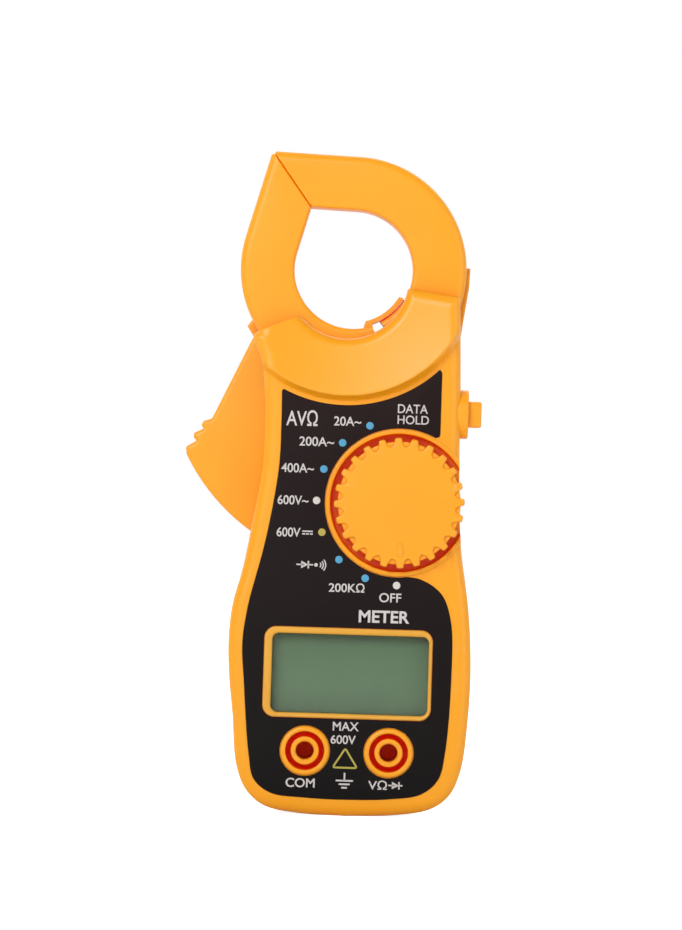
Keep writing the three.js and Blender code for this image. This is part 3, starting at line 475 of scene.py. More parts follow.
def swept(name, path, radius, sides=10):
    """A round wire along a path of 3-D points, closed at its ends."""
    path = np.asarray(path, float)
    tangent = np.gradient(path, axis=0)
    tangent /= np.linalg.norm(tangent, axis=1)[:, None]
    side = np.cross(tangent[0], (0.3, 0.9, 0.2))
    vertices = []
    for point, direction in zip(path, tangent):
        side -= direction * (side @ direction)
        side /= np.linalg.norm(side)
        up = np.cross(direction, side)
        for k in range(sides):
            a = 2 * math.pi * k / sides
            vertices.append(point + radius * (side * math.cos(a) + up * math.sin(a)))
    faces = []
    for i in range(len(path) - 1):
        for k in range(sides):
            a, b = i * sides + k, i * sides + (k + 1) % sides
            faces.append((a, b, b + sides, a + sides))
    faces.append(range(sides))
    faces.append(range((len(path) - 1) * sides, len(path) * sides))
    made = piece(name, vertices, faces)
    recalculate(made)
    return made


def combine(target, tools, operation="DIFFERENCE"):
    """Cuts the tools from the target or joins them to it; the tools are used up."""
    for tool in tools:
        modifier = target.modifiers.new("cut", "BOOLEAN")
        modifier.operation = operation
        modifier.solver = "MANIFOLD"
        modifier.object = tool
        graph = bpy.context.evaluated_depsgraph_get()
        mesh = bpy.data.meshes.new_from_object(target.evaluated_get(graph))
        target.modifiers.clear()
        old, target.data = target.data, mesh
        bpy.data.meshes.remove(old)
    for tool in tools:
        mesh = tool.data
        bpy.data.objects.remove(tool)
        bpy.data.meshes.remove(mesh)
    return target


def join(name, parts):
    """Several meshes as one piece, without a boolean."""
    joined = bmesh.new()
    for part in parts:
        joined.from_mesh(part.data)
    mesh = bpy.data.meshes.new(name)
    joined.to_mesh(mesh)
    joined.free()
    for part in parts:
        bpy.data.objects.remove(part)
    made = bpy.data.objects.new(name, mesh)
    bpy.context.scene.collection.objects.link(made)
    return made


def finish(made, body, material, replaces=(), sharp=32):
    """Smooth faces with crisp edges above an angle, then the piece's body and material; the CAD nodes it
    replaces are hidden.
    """
    mesh = bmesh.new()
    mesh.from_mesh(made.data)
    bmesh.ops.remove_doubles(mesh, verts=mesh.verts, dist=2e-7)
    bmesh.ops.dissolve_degenerate(mesh, edges=mesh.edges, dist=1e-7)
    for face in mesh.faces:
        face.smooth = True
    for edge in mesh.edges:
        edge.smooth = len(edge.link_faces) == 2 and edge.calc_face_angle(0) < math.radians(sharp)
    mesh.to_mesh(made.data)
    mesh.free()
    made.data.materials.clear()
    made.data.materials.append(material)
    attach(made, body)
    if replaces:
        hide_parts(*replaces)
    return made


def slab(loop, back, front):
    return plate("tool", [loop], front, back)


def rod(centre, radius, back, front, step=0.4):
    return slab(circle(centre, radius, step), back, front)


# ------------------------------------------------------------------ the case's outlines

LEFT_SIDE = smooth([
    (-24.2, 108.3), (-22.2, 103.3), (-21.2, 96), (-20.9, 88), (-21.2, 78.5), (-22.4, 70), (-24.8, 55.8),
    (-26.9, 47.5), (-27.6, 39.2), (-27.2, 30.8), (-26.2, 22.5), (-25, 11), (-22.7, 5.4), (-18.6, 1.9),
    (-11, 0.4), (0, 0),
])
RIGHT_SIDE = smooth([
    (0, 0), (11, 0.5), (19.4, 2.1), (23.6, 5.3), (26, 11), (27.3, 22.5), (27.6, 34), (26.7, 47.5),
    (24.5, 62), (23.6, 80), (23.3, 98), (23, 108),
])[1:]
COLLAR_ARC = arc(COLLAR, COLLAR_RADIUS, -9, -139.6)
COLLAR_RIGHT = ((22.5, 118.4), (11.9, 120))
COLLAR_LEFT = (-22.9, 109.5)
FRONT_OUTLINE = chain(LEFT_SIDE, RIGHT_SIDE, *COLLAR_RIGHT, COLLAR_ARC, COLLAR_LEFT)
REAR_OUTLINE = chain(
    LEFT_SIDE, RIGHT_SIDE, (23.75, 113.5), (24.85, 121.3), (25, 125.6), (16.5, 126),
    arc(COLLAR, COLLAR_RADIUS + REAR_STEP, 4, -139.6), (-24.8, 112.2), (-25.75, 110.8),
)
LABEL_SIDE = smooth([
    (-17.2, 96.1), (-17.1, 88), (-17.3, 79.3), (-18.5, 69.8), (-20.2, 60.5), (-23.5, 46.5), (-24.4, 38.3),
    (-23.8, 30), (-22.2, 13.5), (-20.9, 7.9), (-17.1, 4.9), (-9.2, 4), (0, 3.8), (10, 4.2), (17.1, 5.5),
    (20.9, 8.9), (22.3, 15), (23.2, 32), (22.7, 45), (20.4, 51), (15.6, 54.2), (10, 54.8),
])
LABEL_OUTLINE = chain(
    LABEL_SIDE, DIAL, (18, 86.4), (18.8, 86.6), (19, 87.2), (19, 101.2), (18.5, 101.9),
    arc(STEP_CENTRE, STEP_FOOT + 0.9, -46.6, -116.6),
)


def case_inside(gap):
    """The case's outline below the collar, moved inwards."""
    both = np.vstack([LEFT_SIDE, RIGHT_SIDE])
    return offset(chain(both[both[:, 1] < 99]), gap)


def jaw_corner(radius):
    """Where the tangents of a circle about the jaw's centre meet, at its top and left normals."""
    return on_circle(JAW, radius / math.cos(math.radians(LEFT_NORMAL - SPLIT)), SPLIT)


def teardrop(radius):
    """A circle drawn out to a corner, the outline that the jaws share."""
    return chain(arc(JAW, radius, LEFT_NORMAL, TOP_NORMAL + 360), jaw_corner(radius))


def jaw_bay(back, front):
    """The space in which the swinging jaw and its hub turn, as the ring at four angles of opening."""
    tools = [rod(PIVOT, HUB_RADIUS + 0.6, back, front)]
    for share in (0, 0.33, 0.67, 1):
        turn = Matrix.Rotation(math.radians(share * (OPEN_DEG + 1)), 2)
        centre = np.array(PIVOT) + turn @ Vector(np.subtract(JAW, PIVOT))
        tools.append(rod(centre, RING_RADIUS + 0.8, back, front))
    return tools


def sideways(made):
    """Turns a plate so that its front faces +X and its first coordinate runs along Y."""
    made.data.transform(Matrix.Rotation(math.radians(90), 4, "Z"))
    return made


def ellipse(half_x, half_z, centre, step=0.4):
    count = round(2 * math.pi * max(half_x, half_z) / step)
    angle = np.arange(count) * 2 * math.pi / count
    return np.stack([centre[0] + half_x * np.cos(angle), centre[1] + half_z * np.sin(angle)], -1)


def pad(half_y, half_z, corner):
    """A rounded box about the button's axis, for a piece that is then turned sideways."""
    y, z = BUTTON_AXIS
    return box_outline((y - half_y, z - half_z, y + half_y, z + half_z), corner)


# ------------------------------------------------------------------ case

def case_front(points):
    """Depth of the case's face: rounded outer edge, raised collar that tips upwards, and its step."""
    outer = np.vstack([COLLAR_LEFT, LEFT_SIDE, RIGHT_SIDE, COLLAR_RIGHT])
    drop = np.maximum(
        fillet(distance(points, outer, False), SIDE_EDGE, 2.2),
        fillet(distance(points, COLLAR_ARC, False), COLLAR_EDGE),
    )
    r = np.hypot(*(points - STEP_CENTRE).T)
    share = np.clip((r - COLLAR_RADIUS) / (STEP_TOP - COLLAR_RADIUS), 0, 1)
    crown = COLLAR_TOP_Y + COLLAR_TILT * share ** 1.3
    raised = 1 - blend(r, STEP_TOP, STEP_FOOT)
    return FACE_Y + (crown - FACE_Y) * raised + drop


def case_seam(points):
    """The seam between the two case halves, with a fine groove along the outer edge."""
    return SEAM_Y - fillet(distance(points, FRONT_OUTLINE), SEAM_GROOVE)


def front_housing():
    """The front half: a hollow shell with the dial's cup, the sockets' wells and the button's guard."""
    step_rings = [circle(STEP_CENTRE, r, 0.7) for r in np.arange(STEP_TOP - 0.4, STEP_FOOT + 0.5, 0.2)]
    collar_rings = [circle(STEP_CENTRE, r, 1.2) for r in np.arange(15, STEP_TOP - 0.6, 1.2)]
    body = plate(
        "front_shell", [FRONT_OUTLINE], case_front, case_seam,
        [rings(FRONT_OUTLINE, SIDE_EDGE), rings(FRONT_OUTLINE, COLLAR_EDGE),
         offset(FRONT_OUTLINE, SEAM_GROOVE), *step_rings, *collar_rings],
    )
    combine(body, [
        slab(case_inside(WALL), BEHIND_SEAM, FACE_Y + WALL),
        *jaw_bay(BEHIND_SEAM, JAW_FRONT_Y - 0.3),
        rod(DIAL, RIM_RADIUS - 0.3, DIAL_FLOOR_Y + DIAL_FLOOR / 2, FRONT),
        slab(offset(box_outline(DISPLAY, DISPLAY_CORNER), -0.6), BEHIND_SEAM, FRONT),
        *[rod(centre, SOCKET_RIM - 0.3, BEHIND_SEAM, FRONT) for centre in SOCKETS],
    ])
    combine(body, [dial_cup(), *[socket_well(centre) for centre in SOCKETS], button_guard()], "UNION")
    beside_button = slab(box_outline((17, 87, 30, 97.5), 0.01), 0, FRONT)
    flange_room = combine(slab(case_inside(WALL), -14, FACE_Y + WALL), [beside_button], "INTERSECT")
    combine(body, [
        flange_room,
        rod(DIAL, DETENT_INNER, BEHIND_SEAM, DIAL_FLOOR_Y + DIAL_FLOOR),
        sideways(slab(pad(BUTTON_HALF_Y + 0.3, BUTTON_HALF_Z + 0.3, 1.1), -18, FRONT)),
        *[rod(centre, 1.15, BEHIND_SEAM, FACE_Y + 2.8) for centre in SCREW_PLACES],
        rod(PIVOT, PIN_RADIUS + 0.1, BEHIND_SEAM, -21.6),
    ])
    return finish(body, "case", orange(), ["front_housing"])


def dial_cup():
    """The knob's recess with its rounded rim, clipped where the knob overhangs the case's side."""
    rim = FACE_Y - 0.45
    floor, under = DIAL_FLOOR_Y, DIAL_FLOOR_Y + DIAL_FLOOR
    cup = turned("cup", DIAL, [
        (3.2, under), (DETENT_INNER, under), (DETENT_INNER, DETENT_BACK_Y), (DETENT_OUTER, DETENT_BACK_Y),
        (DETENT_OUTER, under), (RIM_RADIUS, under),
        *round_over(RIM_RADIUS, rim, 0.3), *round_over(RECESS_RADIUS, rim, 0.3, inward=True),
        (RECESS_RADIUS, floor - 0.3), (RECESS_RADIUS - 0.3, floor), (3.2, floor),
    ], 128)
    return combine(cup, [slab(offset(FRONT_OUTLINE, 0.02), -5, FRONT)], "INTERSECT")


def bezel():
    """The raised frame round the display, with a sleeve that reaches in to the lens."""
    outer = box_outline(BEZEL, BEZEL_CORNER)
    inner = box_outline(DISPLAY, DISPLAY_CORNER)
    def front(points):
        return FACE_Y - 0.7 + np.maximum(
            fillet(distance(points, outer), 0.35), fillet(distance(points, inner), 0.8, 0.5))
    made = plate("display_bezel", [outer, inner], front, FACE_Y + 0.02,
                 [rings(outer, 0.35), *[offset(inner, -d) for d in 0.8 * (1 - np.cos(EDGE_STEPS))[1:]]])
    collar = plate("sleeve", [offset(inner, -0.55), inner], FACE_Y, -21.05)
    combine(made, [collar], "UNION")
    return finish(made, "case", gold(), ["front_housing"])


def socket_well(centre):
    """A raised ring, a deep ring groove, and the shroud of the plug's tube."""
    top, shroud, foot = FACE_Y - 0.6, FACE_Y + 0.1, -8
    bore = SOCKET_BORE + 0.05
    return turned("well", centre, [
        (2.8, -6.5), (SOCKET_RIM, -6.5), *round_over(SOCKET_RIM, top, 0.7),
        *round_over(SOCKET_GROOVE, top, 0.25, inward=True), (SOCKET_GROOVE, foot), (SOCKET_TUBE, foot),
        *round_over(SOCKET_TUBE, shroud, 0.2), (SOCKET_BORE + 0.3, shroud), (bore, shroud + 0.3),
        (bore, SLEEVE_FRONT_Y), (2.8, SLEEVE_FRONT_Y),
    ], 96)


def from_button(points, halves):
    """Distance from the button's axis as a share of an ellipse's two halves."""
    return np.hypot(*((points - BUTTON_AXIS) / halves).T)


def button_guard():
    """The oval boss round the button, dished towards it."""
    edge = ellipse(*GUARD_HALF, BUTTON_AXIS)
    def front(points):
        dish = 0.9 * (1 - np.clip(from_button(points, GUARD_HALF) / 0.92, 0, 1) ** 2)
        return -GUARD_TIP + fillet(distance(points, edge), 0.5) + dish
    rows = [ellipse(GUARD_HALF[0] * s, GUARD_HALF[1] * s, BUTTON_AXIS)
            for s in (0.35, 0.5, 0.62, 0.72, 0.8, 0.86, 0.9)]
    return sideways(plate("guard", [edge], front, -20, [rings(edge, 0.5), *rows]))


def hold_button():
    """A cap with a rounded rim and a shallow finger dish, on a flange that keeps it in."""
    edge = pad(BUTTON_HALF_Y, BUTTON_HALF_Z, 0.9)
    dish = (1.6, 2.2)
    def front(points):
        hollow = 0.35 * (1 - blend(from_button(points, dish), 0.1, 1.1))
        return -BUTTON_TIP + fillet(distance(points, edge), 0.5) + hollow
    rows = [ellipse(dish[0] * s, dish[1] * s, BUTTON_AXIS, 0.3) for s in (0.2, 0.45, 0.65, 0.85, 1.0, 1.1)]
    cap = sideways(plate("hold_button_cap", [edge], front, -20.4, [rings(edge, 0.5), *rows]))
    flange = sideways(slab(pad(BUTTON_HALF_Y + 0.9, BUTTON_HALF_Z + 0.9, 1.4), -20.2, -21.1))
    combine(cap, [flange], "UNION")
    return finish(cap, "button", orange(), ["hold_button"])


def rear_housing():
    """The back half: a hollow shell with the battery bay, the screws' bosses and the plugs' stops."""
    def back(points):
        return -fillet(distance(points, REAR_OUTLINE), REAR_EDGE)
    def top(points):
        return BACK_FACE_Y + fillet(distance(points, REAR_OUTLINE), 0.5)
    body = plate("rear_shell", [REAR_OUTLINE], top, back,
                 [rings(REAR_OUTLINE, REAR_EDGE), rings(REAR_OUTLINE, 0.5)])
    wall = chain(LEFT_SIDE, RIGHT_SIDE, (22.6, 118.2), (-22, 108.5))
    def seam(points):
        return SEAM_Y + 0.1 + fillet(distance(points, wall), SEAM_GROOVE)
    combine(body, [plate("wall", [wall], seam, -2.2, [rings(wall, SEAM_GROOVE)])], "UNION")
    slot = chain(arc(PIVOT, TRIGGER_RADIUS + 0.5, 170, 250), (-14, 96))
    combine(body, [
        slab(case_inside(WALL), -WALL, -20),
        *jaw_bay(BACK_FACE_Y, -20),
        slab(slot, BACK_FACE_Y, -20),
        rod(COLLAR, COLLAR_RADIUS + REAR_STEP - 0.05, BACK, -20),
    ])
    left, low, right, high = BAY
    box = slab(box_outline((-27, low - 1.2, 27, high + 1.2), 0.01), -0.9, BAY_FLOOR_Y - 1)
    fill = combine(slab(case_inside(WALL / 2), -0.9, SEAM_Y + 0.1),
                   [slab(case_inside(WALL + 0.3), -0.95, -20)], "UNION")
    combine(body, [combine(box, [fill], "INTERSECT"), rod(COVER_SCREW, 3, -1, -9)], "UNION")
    bosses = [combine(rod(place, 3, -1, SEAM_Y + 0.2), [slab(REAR_OUTLINE, 0, -20)], "INTERSECT")
              for place in SCREW_PLACES]
    combine(body, bosses, "UNION")
    combine(body, [
        slab(box_outline(BAY, 0.6), BACK, BAY_FLOOR_Y),
        slab(cover_outline(0.3), BACK, -1.5),
        rod(COVER_SCREW, 1.3, BACK, -7.5),
        *[rod(place, 1.5, BACK, -20) for place in SCREW_PLACES],
        *[counterbore(place) for place in SCREW_PLACES],
        rod(PIVOT, PIN_RADIUS + 0.1, -2.4, -20),
        slab(box_outline(grown(BACK_LABEL, 0.2), 1.7), BACK, -0.35),
        *[rod(centre, 5.9, -5.2, -20) for centre in SOCKETS],
    ])
    finish(body, "case", orange(), ["rear_housing"])
    # The plug stops fill the socket bores with painted shade: a dark red-orange that also glows.
    stops = [rod(centre, SOCKET_BORE - 0.15, -1, PLUG_STOP_Y) for centre in SOCKETS]
    finish(join("plug_stops", stops), "case", painted_bore_red())


def counterbore(place):
    """A screw's sunk hole, with its mouth broken by a small chamfer."""
    return turned("bore", place, [(0, BACK), (3.9, BACK), (2.5, -0.4), (2.5, -4.4), (0, -4.4)], 48)


def cover_outline(growth=0.0):
    """The battery cover's edge: a box with a round tab at its top for the screw."""
    right = COVER_HIGH[0] + growth
    low, top = COVER_LOW[2] - growth, COVER_TOP + growth
    tab = COVER_TAB + growth
    return rounded_corners([
        (-right, low, 0.8), (right, low, 0.8), (right, top, 0.8), (tab + 1.5, top, 1),
        *[(*p, 0) for p in arc((0, COVER_SCREW[1] - 1.6), tab, 10, 170)],
        (-tab - 1.5, top, 1), (-right, top, 0.8),
    ], 0.5)


def battery_cover():
    """A flat lid with softened edges, finger grooves, a screw well and two lugs."""
    edge = cover_outline()
    def back(points):
        return -fillet(distance(points, edge), 0.4)
    lid = plate("battery_lid", [edge], -COVER_DEPTH, back, [rings(edge, 0.4)])
    lugs = [slab(box_outline((x, 23.5, x + 4, 24.5), 0.2), -1.2, -3) for x in (-14, 10)]
    combine(lid, lugs, "UNION")
    grooves = [
        swept("groove", [(x, 0.55, z) for x in np.linspace(-7, 7, 9)], 1.0, 24)
        for z in (25.4, 27.0, 28.6, 30.2, 31.8)
    ]
    arrow = slab(rounded_corners([(-2.4, 35.2), (0, 33), (2.4, 35.2)], 0.2), BACK, -0.35)
    well_profile = [(0, BACK), (3.4, BACK), (2.4, -0.25), (2.4, -0.8), (0, -0.8)]
    well = turned("well", COVER_SCREW, well_profile, 48)
    combine(lid, [*grooves, arrow, well, rod(COVER_SCREW, 1.4, BACK, -4)])
    return finish(lid, "cover", orange(), ["battery_cover"])


def screw(node, body):
    """A cross-head screw with a domed, slightly countersunk head."""
    low, high = millimetres(node)
    x, z = tuple(((low + high) / 2)[[0, 2]])
    y, tip, shank, pitch = high[1], low[1], 1.0, 0.5
    under_head = y - (1.5 if body == "case" else 0.6)
    dome_angle = 1.2
    dome = [
        (2.2 * math.sin(a), y - 0.35 * (1 - math.cos(a)) / (1 - math.cos(dome_angle)))
        for a in np.linspace(0, dome_angle, 7)
    ]
    rim = dome[-1][0] + 0.1
    profile = [*dome, (rim, y - 0.45), (rim, under_head)]
    for i in range(round((under_head - tip) / pitch)):
        at = under_head - pitch * i
        profile += [(shank - 0.2, at - 0.06), (shank, at - 0.25), (shank - 0.2, at - 0.44)]
    profile += [(0.3, tip), (0, tip)]
    made = turned(node + "_fine", (x, z), profile, 40)
    long, short = 1.35, 0.26
    arms = [
        slab(box_outline((x - a, z - b, x + a, z + b), 0.1), 2, y - 0.75)
        for a, b in ((long, short), (short, long))
    ]
    combine(made, [combine(arms[0], [arms[1]], "UNION")])
    return finish(made, body, steel(), [node])


def face_label():
    """The dark overlay, a thin film with openings for the display frame, the knob and the sockets."""
    def front(points):
        return PRINT_Y + fillet(distance(points, LABEL_OUTLINE), 0.12)
    label = plate("face_overlay", [LABEL_OUTLINE], front, FACE_Y - 0.02, [rings(LABEL_OUTLINE, 0.12)])
    combine(label, [
        rod(DIAL, RIM_RADIUS + 0.2, -20, FRONT),
        slab(box_outline(grown(BEZEL, 0.1), BEZEL_CORNER + 0.1), -20, FRONT),
        *[rod(centre, SOCKET_RIM + 0.1, -20, FRONT) for centre in SOCKETS],
    ])
    return finish(label, "case", overlay(), ["face_label"])


def back_label():
    """A plain plate of foil with a raised border line."""
    edge = box_outline(BACK_LABEL, 1.5)
    line = offset(edge, 0.9)
    def back(points):
        ridge = 0.06 * (1 - blend(distance(points, line), 0.15, 0.3))
        return -0.1 - fillet(distance(points, edge), 0.1) - ridge
    rows = [offset(edge, d) for d in (0.55, 0.65, 0.75, 0.9, 1.05, 1.15, 1.25)]
    made = plate("back_foil", [edge], -0.3, back, [rings(edge, 0.1), *rows])
    return finish(made, "case", foil(), ["back_label"])


# ------------------------------------------------------------------ jaws

def jaw_outline(swinging):
    """Half of the ring: its outer edge, its window edge and the line on which the jaws part."""
    along = on_circle((0, 0), 1, SPLIT)
    side = on_circle((0, 0), 1, SPLIT + (90 if swinging else -90))
    edge = on_circle((0, 0), 1, LEFT_NORMAL + 90 if swinging else TOP_NORMAL - 90)
    tip = jaw_corner(RING_RADIUS)
    notch = jaw_corner(WINDOW_RADIUS) + HALF_GAP * side
    start, stop = (LEFT_NORMAL, 300) if swinging else (TOP_NORMAL, -80)
    outer, window = arc(JAW, RING_RADIUS, start, stop), arc(JAW, WINDOW_RADIUS, stop, start)
    tip_points = [tip - TIP_CUT * along + HALF_GAP * side, tip + TIP_CUT * edge]
    loop = chain(*tip_points, outer, window, notch)
    return loop if area(loop) > 0 else loop[::-1]


def beyond_end(swinging):
    """All that lies past the lower end of a jaw, as a tool that trims it."""
    if swinging:
        return slab(chain((60, 60), (60, 116), *SWINGING_END[::-1]), 0, FRONT)
    return slab(chain((-60, 60), (-60, 114), *FIXED_END), 0, FRONT)


def jaw_drop(points):
    """How far a jaw's flat side has dropped: big outer round, small window round, groove at the split."""
    split = on_circle(JAW, np.array((10, 40)), SPLIT)
    beside_split = np.maximum(distance(points, split, False) - HALF_GAP, 0)
    return np.maximum.reduce([
        fillet(distance(points, teardrop(RING_RADIUS)), JAW_OUTER_EDGE, 1.7),
        fillet(distance(points, teardrop(WINDOW_RADIUS)), JAW_INNER_EDGE),
        fillet(beside_split, 0.35, 0.5),
    ])


def jaw_half(name, swinging, front):
    """One of a jaw's two shells, from the seam to its rounded front or back."""
    loop = jaw_outline(swinging)
    def seam(points):
        return HALF_GAP + fillet(distance(points, loop), 0.2)
    if front:
        depths = lambda p: JAW_FRONT_Y + jaw_drop(p), lambda p: JAW_SEAM_Y - seam(p)
    else:
        depths = lambda p: JAW_SEAM_Y + seam(p), lambda p: JAW_BACK_Y - jaw_drop(p)
    return plate(name, [loop], *depths, [rings(loop, d) for d in (JAW_OUTER_EDGE, JAW_INNER_EDGE, 0.3)])


def core_pocket(start, stop):
    """The hollow for the steel core, as a stretch of ring."""
    ring = plate("ring", [teardrop(CORE_OUTER), teardrop(CORE_INNER)],
                 JAW_SEAM_Y - CORE_HALF, JAW_SEAM_Y + CORE_HALF)
    fan = slab(chain(JAW, arc(JAW, 60, start, stop, 4)), 0, FRONT)
    return combine(ring, [fan], "INTERSECT")


def swinging_jaw():
    """Two shells with the pivot's hub and the lip inside the window; the rear one carries the trigger."""
    lip = chain(
        arc(JAW, LIP_OUTER, -69.5, -28), arc(JAW, LIP_INNER, -29.5, -75.3),
        (0.62, 110.1), (0.6, 109), (3.3, 109.8),
    )
    for side in ("front", "rear"):
        made = jaw_half(f"swinging_shell_{side}", True, side == "front")
        combine(made, [beyond_end(True)])
        if side == "front":
            near = JAW_SEAM_Y - HALF_GAP
            added = [rod(PIVOT, HUB_RADIUS, near, JAW_FRONT_Y), slab(lip, near, -17)]
        else:
            far = JAW_SEAM_Y + HALF_GAP
            added = [rod(PIVOT, HUB_RADIUS, JAW_BACK_Y, far), slab(lip, -7, far), trigger()]
        combine(made, added, "UNION")
        combine(made, [core_pocket(SPLIT - 5, 270), rod(PIVOT, PIN_RADIUS + 0.15, 0, FRONT)])
        finish(made, "swinging_jaw", orange(), [f"swinging_jaw_{side}_cover"])


def fixed_jaw():
    """Two shells with a ledge inside the window and room for the core, the coil and the coil's leads."""
    for side in ("front", "rear"):
        made = jaw_half(f"fixed_shell_{side}", False, side == "front")
        coil = chain(arc(JAW, COIL_OUTER, -38.6, 42.6), arc(JAW, COIL_INNER, 42.6, -38.6))
        ledge = chain(arc(JAW, LEDGE_OUTER, -62, -29), arc(JAW, LEDGE_INNER, -29, -62))
        depths = (JAW_SEAM_Y - HALF_GAP, -14) if side == "front" else (-7, JAW_SEAM_Y + HALF_GAP)
        combine(made, [slab(ledge, *depths)], "UNION")
        tools = [
            beyond_end(False), rod(PIVOT, HUB_RADIUS + 1, 0, FRONT), core_pocket(-61.5, SPLIT + 5),
            slab(coil, JAW_SEAM_Y + COIL_HALF, JAW_SEAM_Y - COIL_HALF),
        ]
        if side == "rear":
            tools.append(slab(box_outline((13, 99, 16, 108.5), 0.2), JAW_SEAM_Y + 2.6, JAW_SEAM_Y - 1.2))
        combine(made, tools)
        finish(made, "case", orange(), [f"fixed_jaw_{side}_cover"])


def trigger():
    """The lever, with steps for the thumb on its outer edge."""
    edge = chain(
        rounded_corners([
            (-6, 99.5, 0), (-17, 109, 1), (-24.3, 108.1, 1), (-33.1, 89.3, 0.8), (-35, 88.7), (-35.5, 87.7),
            (-34.9, 87, 0.25), (-37.1, 85.9), (-37.2, 84.9), (-36.4, 84.2, 0.25), (-38.9, 82.7, 0.8),
            *[(*p, 0) for p in arc(PIVOT, TRIGGER_RADIUS, 207.3, 242.6, 1)],
            (*on_circle(PIVOT, 38, 245), 1), (*on_circle(PIVOT, 22, 238), 0),
        ], 0.4),
    )
    def back(points):
        return JAW_BACK_Y - fillet(distance(points, edge), 1.0)
    def front(points):
        return JAW_SEAM_Y + HALF_GAP + fillet(distance(points, edge), 1.0)
    return plate("trigger", [edge], front, back, [rings(edge, 1.0)])


# ------------------------------------------------------------------ knob

def dial_knob():
    """A disc with small teeth and round notches, on a skirt, with a raised bar that points at the range."""
    pitch = 360 / KNOB_TEETH
    corners = []
    for i in range(KNOB_TEETH):
        middle = 270 + KNOB_REST + i * pitch
        tooth = [middle - pitch * 0.185, middle + pitch * 0.185]
        notch = [middle + pitch * share for share in (0.26, 0.33, 0.42, 0.5, 0.58, 0.67, 0.74)]
        depth = [13.75, 13.2, 12.9, 12.82, 12.9, 13.2, 13.75]
        corners += [(*on_circle(DIAL, KNOB_RADIUS, a), 0.45) for a in tooth]
        corners += [(*on_circle(DIAL, r, a), 0.5) for a, r in zip(notch, depth)]
    edge = rounded_corners(corners, 0.3, 0.12)
    pointer = box_outline((-0.8, -12.2, 0.8, -9.0), 0.7)
    turn = math.radians(KNOB_REST)
    spin = np.array([(math.cos(turn), math.sin(turn)), (-math.sin(turn), math.cos(turn))])
    pointer = pointer @ spin + DIAL
    def front(points):
        raised = inside(points, [pointer]) * np.clip(distance(points, pointer) / 0.35, 0, 1)
        r = np.hypot(*(points - DIAL).T)
        crown = 0.25 * np.clip(r / KNOB_RADIUS, 0, 1) ** 2
        return KNOB_TOP_Y + crown + fillet(distance(points, edge), 0.45) - 0.28 * raised
    knob = plate("range_knob", [edge], front, -21, [
        rings(edge, 0.45), pointer, offset(pointer, 0.2), offset(pointer, 0.35), offset(pointer, -0.1),
        *[circle(DIAL, r, 1.2) for r in (2, 4, 6, 8, 10, 11.5, 12.4)],
    ])
    foot = DIAL_FLOOR_Y - 0.3
    skirt = turned("skirt", DIAL, [
        (0, foot), (SKIRT_RADIUS, foot), *round_over(SKIRT_RADIUS, SKIRT_FRONT_Y, 0.3), (0, SKIRT_FRONT_Y),
    ], 128)
    stem = rod(DIAL, 2.9, -17.85, -21.5)
    combine(knob, [skirt, stem], "UNION")
    return finish(knob, "dial", orange(), ["dial_knob"])


# ------------------------------------------------------------------ other pieces

def display_lens():
    """The clear window: a plate with a stepped edge that sits behind the opening."""
    opening = box_outline(DISPLAY, DISPLAY_CORNER)
    edge = offset(opening, 0.1)
    def front(points):
        return LENS_FRONT_Y + fillet(distance(points, edge), 0.25)
    lens = plate("display_window", [edge], front, LENS_BACK_Y, [rings(edge, 0.25)])
    combine(lens, [slab(offset(opening, -1), LENS_BACK_Y + 0.4, LENS_BACK_Y - 0.3)], "UNION")
    return finish(lens, "case", clear(), ["display_lens"])


def socket_sleeve(node, centre):
    """A turned brass tube with a soldering flange and an eased mouth."""
    low, high = millimetres(node)
    bore, wall, flange = SOCKET_BORE, 2.65, 4.2
    made = turned(node + "_tube", centre, [
        (bore, high[1] - 0.3), (wall, high[1] - 0.3), (wall, high[1]), (flange, high[1]), (flange, -6.3),
        (wall, -6.3), (wall, low[1] + 0.25), (wall - 0.25, low[1]), (bore + 0.3, low[1]),
        (bore, low[1] + 0.35),
    ], 64)
    return finish(made, "case", brass(), [node])


def return_spring():
    """A compression spring with closed ends, built at one length; the real one shortens as the jaws open."""
    low, high = millimetres("jaw_return_spring")
    centre = (low + high) / 2
    wire, coils, rest, flatness = 0.3, 6, 1.2, 0.02
    radius = (high[0] - low[0]) / 2 - wire
    path = []
    for t in np.linspace(0, 1, 260):
        turn = t * (coils + 2 * rest)
        if turn < rest:
            rise = turn * flatness
        elif turn > coils + rest:
            rise = 1 - (coils + 2 * rest - turn) * flatness
        else:
            rise = rest * flatness + (turn - rest) / coils * (1 - 2 * rest * flatness)
        angle = 2 * math.pi * turn
        z = low[2] + wire + rise * (high[2] - low[2] - 2 * wire)
        path.append((centre[0] + radius * math.cos(angle), centre[1] + radius * math.sin(angle), z))
    made = swept("return_coil", path, wire, 10)
    finish(made, "case", steel(), ["jaw_return_spring"])
    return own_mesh(made)


# ------------------------------------------------------------------ printing on the face

def text(string, left, low, right, high, bold=0.012):
    """Letters fitted to a box on the overlay: the height sets their size, the width their spread."""
    curve = bpy.data.curves.new("letters", "FONT")
    curve.body = string
    curve.offset = bold
    letters = bpy.data.objects.new("letters", curve)
    bpy.context.scene.collection.objects.link(letters)
    graph = bpy.context.evaluated_depsgraph_get()
    mesh = bpy.data.meshes.new_from_object(letters.evaluated_get(graph))
    bpy.data.objects.remove(letters)
    corners = np.array([v.co[:2] for v in mesh.vertices])
    start, stop = corners.min(0), corners.max(0)
    scale = (np.array((right, high)) - (left, low)) / (stop - start)
    faces = [list(p.vertices) for p in mesh.polygons]
    bpy.data.meshes.remove(mesh)
    return film((corners - start) * scale + (left, low), faces)


